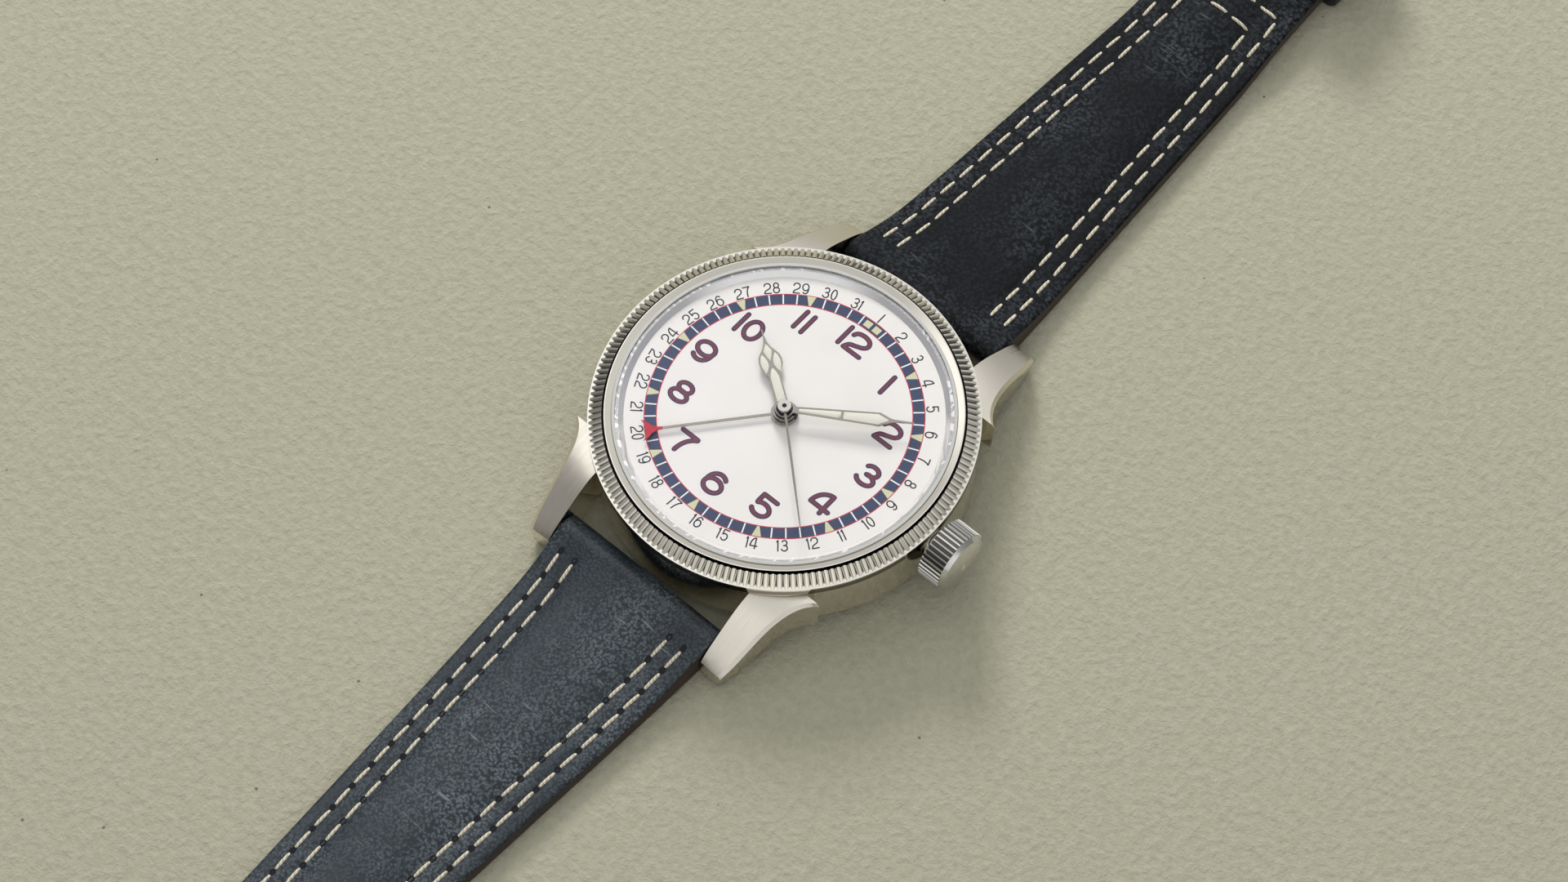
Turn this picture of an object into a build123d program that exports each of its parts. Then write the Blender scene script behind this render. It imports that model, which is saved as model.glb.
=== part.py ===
"""Pilot watch on a leather strap, laid flat, built piece by piece.

Sizes are millimetres. The origin is the middle of the case back, on the surface that the watch lies on.
+Z leaves the dial, +Y points to 12 o'clock and +X to the crown.
"""
from build123d import *
import math
import os

# Cuts and fits
over = 1.0          # how far a cut runs past what it cuts
run_fit = 0.04      # gap round a part that turns
slide_fit = 0.05    # gap round a part that slides or is laid in
low_gap = 0.06      # gap between wheels that pass over each other

# Case middle and lugs
case_low = 1.2      # height of the lower face, the thickness of the case back's rim
flank_h = 5.8       # from the lower face to the seat of the bezel
foot_bevel = 0.7    # bevel round the lower face
cavity_r = 16.35    # bore that takes the movement ring and the dial
case_wall = 2.85    # from the bore to the polished flank
neck_wall = 0.95    # ring that stands up inside the bezel
neck_h = 1.0        # how far it stands up
lug_gap = 20.0      # between the lugs, for a 20 mm strap
lug_reach = 4.55    # the tips of the lugs past the flank, 47.5 over all
bar_set_in = 2.15   # spring bar axis from the tips of the lugs
bar_height = 2.7
bar_hole_depth = 1.0
lug_chamfer = 0.35
# One lug, from root to tip: along from the middle as a share of half the span over the lugs, then the outer
# edge as a share of the flank, the top's height and its fall to the outside as shares of the flank's height,
# and the underside's height as a share of the flank's height
lug_shares = (
    (0.547, 0.830, 0.985, 0.02, 0.17),
    (0.620, 0.752, 0.980, 0.06, 0.13),
    (0.712, 0.714, 0.945, 0.12, 0.04),
    (0.800, 0.694, 0.800, 0.13, -0.07),
    (0.880, 0.680, 0.600, 0.11, -0.13),
    (0.955, 0.662, 0.390, 0.08, -0.15),
    (0.990, 0.648, 0.250, 0.05, -0.13),
)

# Bezel
rim_proud = 0.1     # smooth lower rim past the flank
rim_h = 0.92
flute_set_in = 0.03 # foot of the flutes inside the flank
flute_w = 1.39      # from their foot to their inner end, at the dark groove
flute_rise = 0.78
flute_depth = 0.46
flute_depth_share = 0.7     # depth at the inner end over that at the foot
flute_count = 180
flute_ridge_share = 0.36    # flat top of a ridge over the pitch
groove_w = 0.13
groove_depth = 0.3
lip_w = 0.1         # narrow lip inside the groove
lip_h = 0.14
collar_fall = 0.22  # polished slope from the lip down to the crystal

# Crystal, its gasket and the ring between crystal and dial
crystal_lap = 0.25  # the crystal past the bore of the case
crystal_edge_h = 0.95
crystal_rise = 1.75
crystal_inner_h = 0.72
crystal_inner_rise = 1.15
crystal_wall = 0.5
gasket_wall = 0.3
gasket_h = 0.25
flange_h = 0.5
flange_low_w = 0.6  # the ring's lower edge inside the bore
flange_top_w = 0.1  # its upper edge inside the bore

# Dial and its feet
dial_thick = 0.4
dial_hole_r = 1.25
dial_foot_r = 0.35
dial_foot_h = 0.7
dial_foot_at = 11.0
dial_foot_angles = (20.0, 250.0)

# Case back
back_lap = 0.95     # rim of the case back past the bore
back_lip_h = 0.4
window_frame = 3.45 # from the bore in to the window
window_glass_lap = 0.7
thread_wall = 1.1
thread_h = 1.8
back_gasket_lap = 0.25  # inside of the gasket past the bore
back_gasket_w = 0.36
back_gasket_h = 0.36
key_count = 6
key_w = 2.4
key_depth = 0.5
key_l = 1.3

# Movement frame
movement_r = 12.8
rim_wall = 1.0
works_room = 0.95   # between main plate and dial, for the hand and date wheels
plate_thick = 0.8
train_room = 1.85   # between main plate and bridges
bridge_thick = 0.55
bridge_split = 0.25
jewel_r = 0.42
jewel_h = 0.25
pivot_r = 0.09
pivot_h = 0.2
shaft_r = 0.16
end_shake = 0.04
wheel_thick = 0.14
hub_share = 0.28    # hub of a crossed-out wheel over its pitch radius
rim_share = 0.84    # inside of its rim over its pitch radius
spoke_w = 0.24
tooth_tip_share = 0.8
tooth_root_share = 1.0
tooth_foot_half_share = 0.30    # half a tooth at its foot over the tooth pitch
tooth_top_half_share = 0.14     # half a tooth at its tip
few_spokes = 4
more_spokes = 5
pillar_set_in = 1.9             # bridge pillars inside the edge of the movement
rim_screw_set_in = 0.6          # bridge screws in the rim of the main plate
pillar_angles = (100.0, 172.0, 248.0)
barrel_screw_angles = (-8.0, 28.0)
cock_screw_angles = (290.0, 310.0)
barrel_bridge_span = (-14.0, 118.0)
train_bridge_end = 262.0
cock_span = (264.0, 344.0)
cock_arm_half = 17.0            # half the angle that the cock's arm takes

# Going train: distances between axes, and how far each wheel's top lies below the main plate
train_step = 3.5    # centre to third wheel and centre to great wheel
third_angle = 200.0
great_angle = 75.5
barrel_dist = 7.4
barrel_angle = 50.0
escape_dist = 3.36
balance_dist = 7.7
escape_angle = 300.0
fork_dist = 1.85    # escape wheel to pallet fork
great_drop = 0.15
centre_drop = 0.36
fourth_drop = 0.74
escape_drop = 0.95
barrel_teeth_drop = 1.02
third_drop = 1.10
centre_teeth = 80
third_pinion_teeth = 10
third_teeth = 75
seconds_pinion_teeth = 10
fourth_teeth = 84
escape_pinion_teeth = 7
great_teeth = 59
centre_pinion_teeth = 11
barrel_teeth = 80
great_pinion_teeth = 10
escape_wheel_r = 1.6
escape_wheel_teeth = 15
escape_root_r = 1.27
escape_tooth_angles = (8.0, 12.0, 11.0)     # start and end of its tip, and its foot's end
pallet_arm_angle = 113.0
pallet_bridge_share = 0.8       # half the bridge over the distance of the fork
pallet_pillar_share = 0.98
fork_root_share = 0.78          # places along the lever of the fork
fork_horn_share = 0.8
fork_stem_share = 0.86
fork_side_share = 0.75          # horns out from the lever, over a spoke

# Barrel and mainspring
barrel_wall = 0.25
barrel_floor = 0.15
barrel_low = 0.1    # over the bridge
barrel_top_drop = 0.42
barrel_neck = 0.45  # drum inside the tips of its teeth
arbor_r = 0.5
arbor_core_r = 0.9
mainspring_thick = 0.12
mainspring_turns = 6
spring_steps = 14   # straight runs in one turn of a spring

# Balance
balance_r = 3.7
balance_rim = 0.32
balance_h = 0.2
balance_low = 0.26  # over the cock
hairspring_low = 0.06
hairspring_h = 0.12
hairspring_r = 2.1
hairspring_thick = 0.06
hairspring_turns = 6
staff_r = 0.2
collet_r = 0.5
cock_eye_r = 1.5     # round eye of the balance cock
roller_r = 0.55
roller_h = 0.12
pallet_bridge_h = 0.22
stud_w = 0.3
balance_arms = 3
roller_pin_share = 0.65         # the pin's place over the roller
roller_pin_r = 0.072

# Hand stack round the middle
seconds_arbor_r = 0.16
cannon_in_r = 0.20
cannon_out_r = 0.47
hour_pipe_r = 0.78
date_pipe_r = 1.08
cannon_teeth = 12
minute_wheel_teeth = 36
minute_pinion_teeth = 10
hour_teeth = 40
day_teeth = 80
cannon_pitch_r = 0.62
motion_dist = 2.48
minute_wheel_angle = 300.0
day_angle = 150.0
date_wheel_r = 4.2
date_teeth = 31
works_level = 0.20  # minute wheel over the plate
hour_level = 0.46   # hour and day wheel over the plate
date_level = 0.74   # date wheel over the plate
day_finger_r = 1.9
finger_w = 0.3
jumper_w = 0.16
jumper_post_r = 0.4
jumper_nose_angle = 20.0
jumper_post_angle = 62.0
jumper_post_off = 1.0           # the post past the tips of the date wheel
jumper_nose_r = 0.144
post_r = 0.3

# Hands: heights over the dial, and lengths
hand_thick = 0.12
date_hand_z = 0.30
hour_hand_z = 0.66
minute_hand_z = 1.06
seconds_hand_z = 1.36
date_collet_r = 1.34
hour_collet_r = 1.14
minute_collet_r = 0.92
seconds_cap_r = 0.67
collet_h = 0.28
cap_h = 0.42
cap_pin_r = 0.2
cap_pin_h = 0.06
hour_hand_l = 9.5
hour_stem_w = 1.16
hour_petal_w = 2.36
minute_hand_l = 12.75
minute_foot_w = 0.6
minute_wide = 1.48
needle_l = 13.3
needle_w = 0.24
needle_tip_w = 0.12
date_hand_l = 13.6
date_rod_w = 0.26
crescent_span = 2.35
hand_rim = 0.15     # metal left round the open cells of the hour and minute hands
# Outlines of the hands: along the hand as a share of its length, then out to the side as a share of half
# its greatest width
needle_even_share = 0.6
minute_wide_share = 0.735
minute_neck_shares = (0.815, 0.84)
minute_cell_shares = (0.11, 0.802)
minute_bridge_shares = (0.435, 0.455)
hour_stem_share = 0.42
hour_leaf_shares = (
    (0.485, 0.74), (0.55, 0.97), (0.61, 1.0), (0.67, 0.90), (0.73, 0.60), (0.77, 0.36), (0.825, 0.19),
    (0.90, 0.075), (1.0, 0.04),
)
hour_stem_cell_shares = (0.12, 0.42, 0.49, 0.53)
hour_top_cell_shares = ((0.61, 0.013), (0.67, 0.22), (0.735, 0.36), (0.78, 0.20), (0.82, 0.013))
hour_side_cell_shares = (
    (0.455, 0.66), (0.50, 0.40), (0.56, 0.20), (0.62, 0.24), (0.68, 0.42), (0.705, 0.57), (0.67, 0.74),
    (0.61, 0.86), (0.55, 0.84), (0.50, 0.72),
)
date_rod_shares = (0.885, 0.93)
crescent_shares = ((0.965, 0.42), (0.99, 0.74), (1.027, 1.0), (1.018, 0.78), (1.004, 0.45))
# Time and date shown, clockwise from 12 in degrees
hour_hand_at = 304.7
minute_hand_at = 56.2
seconds_hand_at = 132.0
date_hand_at = 220.65

# Winding and setting
stem_height = 5.34
stem_r = 0.4
stem_square = 0.56
stem_pilot_r = 0.25
stem_end = 4.6
crown_travel = 1.2  # the crown pulls out this far to set the hands
clutch_at = 7.2
clutch_l = 1.3
clutch_r = 0.95
clutch_waist_r = 0.71
clutch_waist_shares = (0.4, 0.6)    # its ends over the clutch's length
winding_at = 8.6
winding_l = 1.0
winding_r = 1.05
winding_teeth = 16
crown_wheel_r = 2.2
crown_wheel_teeth = 36
contrate_h = 0.27
contrate_w = 0.4
ratchet_teeth = 63
ratchet_level = 0.07
ratchet_h = 0.16
lever_groove_at = 9.95
lever_groove_w = 0.4
lever_groove_r = 0.2
lever_pivot_x = 10.75
lever_pivot_y = 2.6
lever_h = 0.25
lever_drop = 1.25   # the setting lever's underside below the main plate
lever_w = 0.6
lever_pin_r = 0.15
stem_boss = 0.6
click_tip_angle = 128.0
click_heel_angle = 150.0
click_heel_off = 0.48   # the click's pivot past the tips of the ratchet wheel

# Crown and its tube
crown_gap = 0.79    # from the flank to the crown
crown_l = 2.48
crown_r = 3.27
crown_bevel = 0.45
crown_dome = 0.3
crown_knurls = 38
knurl_depth = 0.16
tube_r = 1.5
tube_bore_r = 0.62
tube_hole_r = 1.25
tube_proud = 1.75   # the tube past the flank
crown_boss_r = 0.56
crown_bore_r = 1.9
crown_seal_off = 1.1    # the gasket from the flank
crown_seal_w = 0.5

# Self-winding
rotor_low = 1.5
rotor_set_in = 0.6  # the weight inside the edge of the movement
rotor_rim_w = 2.6
rotor_top = 2.9
rotor_arm_h = 0.45
rotor_hub_r = 2.6
rotor_window_angles = (205.0, 270.0, 335.0)
rotor_window_share = 0.294      # radius of a window over the web that it is cut in
ball_race_r = 1.55
ball_r = 0.28
ball_post_r = 0.95
ball_count = 7
post_head_r = 1.2
post_head_h = 0.35
rotor_gear_teeth = 60
rotor_gear_r = 2.9
rotor_gear_h = 0.16
reverser_teeth = 30
reverser_r = 1.45
reverser_h = 0.3
reverser_angle = 165.0

# Casing of the movement, and screws
clamp_h = 0.3
clamp_lap = 0.7     # the clamps over the movement
clamp_w = 2.2
clamp_end_share = 0.535         # places across the ring round the movement
clamp_screw_share = 0.268
clamp_angles = (80.0, 200.0, 320.0)
screw_head_r = 0.55
screw_head_h = 0.2
screw_slot_w = 0.14
screw_shank_r = 0.3
screw_shank_h = 0.35

# Strap
strap_side_gap = 0.2
strap_nose_r = 1.8
strap_taper = 0.05  # each side, per unit of length
strap_narrow = 7.0  # half width past the taper
strap_thick = 2.6
strap_end_thick = 2.4
lining_thick = 0.8
strap_fall = 18.0   # from the bar to where the top is level
short_strap = 70.0  # bar to buckle bar
long_strap = 115.0  # bar to tip
edge_drop = 0.75    # padding falls to the sides by this
keeper_lift = 1.1   # the strap lies this high where the keepers pass under it
lift_start = 40.0
lift_end = 50.0
strap_tip_l = 9.0
tip_corner_shares = (0.78, 0.62)    # a point of the tip's curve, across and along
fall_steps = 8
lift_steps = 6
hole_r = 1.0
hole_pitch = 7.0
hole_first = 62.0
hole_count = 7

# Buckle, keepers and bars
bar_r = 0.7
bar_tip_r = 0.38
bar_tip_l = 0.95
bar_play = 0.05
buckle_bar_r = 0.55
strap_loop_r = 1.25
buckle_arm_w = 2.1
buckle_l = 9.8
buckle_cross = 2.4
buckle_h = 2.0
ear_r = 1.25
tongue_w = 1.9
tongue_slot = 2.6
tongue_h = 0.75
tongue_root_share = 0.6     # of the tongue's height, over the middle of the bar
tongue_eye_r = 1.06
keeper_wall = 0.9
keeper_l = 4.2
keeper_room = 2.7   # space over the strap for its other half
fixed_keeper_at = 62.5
free_keeper_at = 57.0
keeper_side = 0.4

# Worked out from the sizes above
flank_r = cavity_r + case_wall
half_span = flank_r + lug_reach
rim_r = flank_r + rim_proud
flute_out_r = flank_r - flute_set_in
flute_in_r = flute_out_r - flute_w
crystal_r = cavity_r + crystal_lap
flange_low_r = cavity_r - flange_low_w
flange_top_r = cavity_r - flange_top_w
back_r = cavity_r + back_lap
window_r = cavity_r - window_frame
window_glass_r = window_r + window_glass_lap
back_gasket_in = cavity_r + back_gasket_lap
key_in = back_r - key_l
clamp_screw_at = movement_r + clamp_screw_share * (cavity_r - movement_r)
clamp_end = movement_r + clamp_end_share * (cavity_r - movement_r)
pillar_at = movement_r - pillar_set_in
rim_screw_at = movement_r - rim_screw_set_in
rotor_out_r = movement_r - rotor_set_in
rotor_in_r = rotor_out_r - rotor_rim_w
crown_start = flank_r + crown_gap
tube_end = flank_r + tube_proud
crown_seal_at = flank_r + crown_seal_off
bezel_seat = case_low + flank_h
neck_top = bezel_seat + neck_h
neck_r = cavity_r + neck_wall
dial_top = neck_top
dial_low = dial_top - dial_thick
plate_top = dial_low - works_room
plate_low = plate_top - plate_thick
bridge_top = plate_low - train_room
bridge_low = bridge_top - bridge_thick
crystal_low = dial_top + flange_h
bezel_bore_r = crystal_r + gasket_wall
bar_y = half_span - bar_set_in
buckle_bar_y = bar_y + short_strap
buckle_bar_z = keeper_lift + strap_loop_r
taper_end = (lug_gap / 2 - strap_side_gap - strap_narrow) / strap_taper


def polar(distance, degrees):
    """Point at a distance from the middle, turned from +X towards +Y."""
    return (distance * math.cos(math.radians(degrees)), distance * math.sin(math.radians(degrees)))


def add(a, b):
    return (a[0] + b[0], a[1] + b[1])


third_at = polar(train_step, third_angle)
great_at = polar(train_step, great_angle)
barrel_at = polar(barrel_dist, barrel_angle)
escape_at = polar(escape_dist, escape_angle)
fork_at = polar(escape_dist + fork_dist, escape_angle)
balance_at = polar(balance_dist, escape_angle)
minute_wheel_at = polar(motion_dist, minute_wheel_angle)
crown_wheel_at = (winding_at + winding_l / 2 - crown_wheel_r, 0)
reverser_at = polar(rotor_gear_r + reverser_r, reverser_angle)
lever_at = (lever_pivot_x, lever_pivot_y)
middle = (0, 0)

# Pitch radii that follow from the distances and the tooth counts
centre_pitch = train_step * centre_teeth / (centre_teeth + third_pinion_teeth)
third_pinion_pitch = train_step - centre_pitch
third_pitch = train_step * third_teeth / (third_teeth + seconds_pinion_teeth)
seconds_pinion_pitch = train_step - third_pitch
fourth_pitch = escape_dist * fourth_teeth / (fourth_teeth + escape_pinion_teeth)
escape_pinion_pitch = escape_dist - fourth_pitch
great_pitch = train_step * great_teeth / (great_teeth + centre_pinion_teeth)
centre_pinion_pitch = train_step - great_pitch
great_to_barrel = math.dist(great_at, barrel_at)
barrel_pitch = great_to_barrel * barrel_teeth / (barrel_teeth + great_pinion_teeth)
great_pinion_pitch = great_to_barrel - barrel_pitch
minute_wheel_pitch = motion_dist - cannon_pitch_r
minute_pinion_pitch = motion_dist * minute_pinion_teeth / (minute_pinion_teeth + hour_teeth)
hour_pitch = motion_dist - minute_pinion_pitch
day_pitch = hour_pitch * day_teeth / hour_teeth
day_at = polar(hour_pitch + day_pitch, day_angle)
ratchet_pitch = math.dist(crown_wheel_at, barrel_at) - crown_wheel_r
train_clear_r = train_step + 4 * shaft_r + jewel_r      # the bridges leave this much round the middle


def disc(radius, low, high, at=middle):
    """Upright cylinder between two heights."""
    base = (Align.CENTER, Align.CENTER, Align.MIN)
    return Pos(at[0], at[1], low) * Cylinder(radius, high - low, align=base)


def ring(outer, inner, low, high, at=middle):
    return disc(outer, low, high, at) - disc(inner, low - over, high + over, at)


def block(x0, x1, y0, y1, low, high):
    """Box between three pairs of coordinates."""
    corner = (Align.MIN, Align.MIN, Align.MIN)
    return Pos(x0, y0, low) * Box(x1 - x0, y1 - y0, high - low, align=corner)


def plate(points, low, high):
    """Flat piece with the outline through the points."""
    face = make_face(Polyline(*points, close=True))
    return Pos(0, 0, low) * extrude(face, high - low, dir=(0, 0, 1))


def rod(radius, x0, x1, at=(0, 0)):
    """Cylinder along X, at a given Y and Z."""
    base = (Align.CENTER, Align.CENTER, Align.MIN)
    return Pos(x0, at[0], at[1]) * Rot(0, 90, 0) * Cylinder(radius, x1 - x0, align=base)


def turned(points):
    """Ring turned round Z from its section, a list of radius and height."""
    section = make_face(Polyline(*[(r, 0, z) for r, z in points], close=True))
    return revolve(section, Axis.Z)


def tooth_points(teeth, tip, root, phase):
    """Outline of a toothed wheel, with one tooth at the phase angle."""
    step = 360 / teeth
    foot, top = tooth_foot_half_share, tooth_top_half_share
    points = []
    for tooth in range(teeth):
        for radius, side in ((root, -foot), (tip, -top), (tip, top), (root, foot)):
            points.append(polar(radius, phase + (tooth + side) * step))
    return points


def gear(teeth, pitch, low, high, at=middle, phase=0.0):
    """Toothed disc whose pitch circle is given."""
    module = 2 * pitch / teeth
    outline = tooth_points(teeth, pitch + tooth_tip_share * module, pitch - tooth_root_share * module, phase)
    return Pos(at[0], at[1], 0) * plate(outline, low, high)


def gap_phase(teeth, angle):
    """Phase that turns a gap of the wheel to the given angle."""
    return angle + 180 / teeth


def meshed(teeth, angle, other_teeth, other_phase):
    """Phase of a wheel that lies at an angle from another one, whose phase is given."""
    offset = (other_phase - angle) % (360 / other_teeth)
    return gap_phase(teeth, angle + 180) - offset * other_teeth / teeth


def crossed(wheel, pitch, low, high, at, spokes):
    """Cut the windows of a wheel, so that a rim, spokes and a hub stay."""
    window = ring(pitch * rim_share, pitch * hub_share, low - over, high + over)
    for spoke in range(spokes):
        arm = block(0, pitch, -spoke_w / 2, spoke_w / 2, low - 2 * over, high + 2 * over)
        window = window - Rot(0, 0, spoke * 360 / spokes) * arm
    return wheel - Pos(at[0], at[1], 0) * window


def arbor(at, low=bridge_top, high=plate_low):
    """Shaft with a thin pivot at each end."""
    shaft = disc(shaft_r, low + end_shake, high - end_shake, at)
    return shaft + disc(pivot_r, low - pivot_h, high + pivot_h, at)


def drop(below):
    """Lower and upper height of a wheel whose top is this far below the main plate."""
    return plate_low - below - wheel_thick, plate_low - below


def spiral(inner, outer, thick, turns, low, high, at):
    """Flat spring wound from an inner to an outer radius."""
    steps = spring_steps * turns
    line = []
    for side in (-thick / 2, thick / 2):
        part = []
        for step in range(steps + 1):
            radius = inner + (outer - inner) * step / steps + side
            part.append(polar(radius, 360 * turns * step / steps))
        line += part if side < 0 else part[::-1]
    return Pos(at[0], at[1], 0) * plate(line, low, high)


def screw(at, seat, shank=screw_shank_h):
    """Slotted screw whose head lies under a seat and whose shank goes up."""
    head = disc(screw_head_r, seat - screw_head_h, seat, at)
    slot = block(at[0] - screw_head_r, at[0] + screw_head_r, at[1] - screw_slot_w / 2,
                 at[1] + screw_slot_w / 2, seat - screw_head_h, seat - screw_head_h / 2)
    return head - slot + disc(screw_shank_r, seat, seat + shank, at)


def screw_hole(at, seat, shank=screw_shank_h):
    return disc(screw_shank_r, seat - over, seat + shank, at)


# Case


def lug_section(shares, side_x, side_y):
    """Section across one lug: five corners in a plane square to Y."""
    along, width, top, fall, bottom = shares
    y = side_y * along * half_span
    inner = lug_gap / 2
    outer = width * flank_r
    high = case_low + top * flank_h
    low = case_low + bottom * flank_h
    high_out = high - fall * flank_h
    corners = (
        (inner, low),
        (inner, high),
        (outer - lug_chamfer, high_out),
        (outer, high_out - lug_chamfer),
        (outer - lug_chamfer, low),
    )
    return make_face(Polyline(*[(side_x * x, y, z) for x, z in corners], close=True))


def lug(side_x, side_y):
    """One lug, lofted from its root inside the flank to its tip."""
    return loft([lug_section(shares, side_x, side_y) for shares in lug_shares], ruled=False)


def case_middle():
    section = (
        (cavity_r, case_low),
        (flank_r - foot_bevel, case_low),
        (flank_r, case_low + foot_bevel),
        (flank_r, bezel_seat),
        (neck_r, bezel_seat),
        (neck_r, neck_top),
        (cavity_r, neck_top),
    )
    body = turned(section)
    for side_x in (-1, 1):
        for side_y in (-1, 1):
            body = body + lug(side_x, side_y)
    body = body - disc(cavity_r, case_low - over, neck_top + over)
    body = body - ring(rim_r + over, neck_r, bezel_seat, neck_top + over)
    reach = lug_gap / 2 + bar_hole_depth
    for side_y in (-1, 1):
        body = body - rod(bar_tip_r + run_fit, -reach, reach, (side_y * bar_y, bar_height))
    return body - rod(tube_hole_r, cavity_r - over, crown_start, (0, stem_height))


def fluted(outer, depth, height):
    """Outline of the fluted edge at one height: flat ridges with V grooves between them."""
    pitch = 360 / flute_count
    points = []
    for number in range(flute_count):
        for radius, side in ((outer, -flute_ridge_share), (outer, flute_ridge_share), (outer - depth, 1)):
            points.append(polar(radius, (number + side / 2) * pitch))
    return make_face(Polyline(*[(x, y, height) for x, y in points], close=True))


def bezel():
    rim_top = bezel_seat + rim_h
    flute_top = rim_top + flute_rise
    collar_out = flute_in_r - groove_w
    body = ring(rim_r, bezel_bore_r, bezel_seat, rim_top)
    lip_top = flute_top + lip_h
    head = fluted(flute_in_r, flute_depth * flute_depth_share, flute_top)
    body = body + loft([fluted(flute_out_r, flute_depth, rim_top), head], ruled=True)
    body = body - disc(collar_out, rim_top, flute_top + over)
    section = (
        (bezel_bore_r, rim_top),
        (collar_out, rim_top),
        (collar_out, lip_top),
        (collar_out - lip_w, lip_top),
        (bezel_bore_r, lip_top - collar_fall),
    )
    groove = ring(flute_in_r, collar_out, flute_top - groove_depth, flute_top + over)
    body = body - groove + turned(section)
    body = body - disc(bezel_bore_r, bezel_seat - over, lip_top)
    return body - disc(neck_r + slide_fit, bezel_seat - over, neck_top)


def dome(radius, low, rise):
    """Cap of a sphere over a flat base."""
    half_way = (radius / 2, 0, low + rise * cap_share(radius, rise))
    arc = ThreePointArc((0, 0, low + rise), half_way, (radius, 0, low))
    section = make_face(arc + Line((radius, 0, low), (0, 0, low)) + Line((0, 0, low), (0, 0, low + rise)))
    return revolve(section, Axis.Z)


def cap_share(radius, rise):
    """Height of the cap at half its radius, over its rise."""
    sphere = (radius ** 2 + rise ** 2) / (2 * rise)
    return (math.sqrt(sphere ** 2 - (radius / 2) ** 2) - sphere + rise) / rise


def crystal():
    top = crystal_low + crystal_edge_h
    solid = disc(crystal_r, crystal_low, top) + dome(crystal_r, top, crystal_rise)
    inner = crystal_r - crystal_wall
    hollow = disc(inner, crystal_low - over, crystal_low + crystal_inner_h)
    return solid - hollow - dome(inner, crystal_low + crystal_inner_h, crystal_inner_rise)


def crystal_gasket():
    return ring(bezel_bore_r, crystal_r, crystal_low, crystal_low + gasket_h)


def rehaut():
    """Polished ring that slopes from the crystal down to the dial."""
    outer = bezel_bore_r - slide_fit
    section = (
        (flange_low_r, dial_top),
        (outer, dial_top),
        (outer, crystal_low),
        (flange_top_r, crystal_low),
    )
    return turned(section)


def dial():
    body = ring(cavity_r - slide_fit, dial_hole_r, dial_low, dial_top)
    for angle in dial_foot_angles:
        body = body + disc(dial_foot_r, dial_low - dial_foot_h, dial_low, polar(dial_foot_at, angle))
    return body


def case_back():
    neck_in = cavity_r - slide_fit - thread_wall
    body = disc(back_r, 0, case_low) + ring(cavity_r - slide_fit, neck_in, case_low, case_low + thread_h)
    body = body - disc(window_r, -over, case_low) - disc(window_glass_r, back_lip_h, case_low + over)
    gasket_low = case_low - back_gasket_h
    body = body - ring(back_gasket_in + back_gasket_w, back_gasket_in, gasket_low, case_low + over)
    for key in range(key_count):
        notch = block(key_in, back_r + over, -key_w / 2, key_w / 2, -over, key_depth)
        body = body - Rot(0, 0, (key + 0.5) * 360 / key_count) * notch
    return body


def case_back_glass():
    return disc(window_r, 0, back_lip_h) + disc(window_glass_r, back_lip_h, case_low)


def case_back_gasket():
    return ring(back_gasket_in + back_gasket_w, back_gasket_in, case_low - back_gasket_h, case_low)


def movement_ring():
    """Spacer between the movement and the wall of the case."""
    body = ring(cavity_r - slide_fit, movement_r + slide_fit, bridge_low, dial_low)
    body = body - rod(tube_hole_r + slide_fit, movement_r - over, cavity_r + over, (0, stem_height))
    for angle in clamp_angles:
        body = body - screw_hole(polar(clamp_screw_at, angle), bridge_low)
    return body


def casing_clamps():
    low = bridge_low - clamp_h
    foot = block(movement_r - clamp_lap, clamp_end, -clamp_w / 2, clamp_w / 2, low, bridge_low)
    foot = foot - screw_hole((clamp_screw_at, 0), low, clamp_h + over)
    return Compound([Rot(0, 0, angle) * foot for angle in clamp_angles])


# Movement frame


def plate_jewels():
    """Pivots that turn in the main plate."""
    return (third_at, great_at, escape_at, fork_at, balance_at)


def train_jewels():
    """Pivots that turn in the train bridge."""
    return (middle, third_at, great_at, escape_at)


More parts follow.
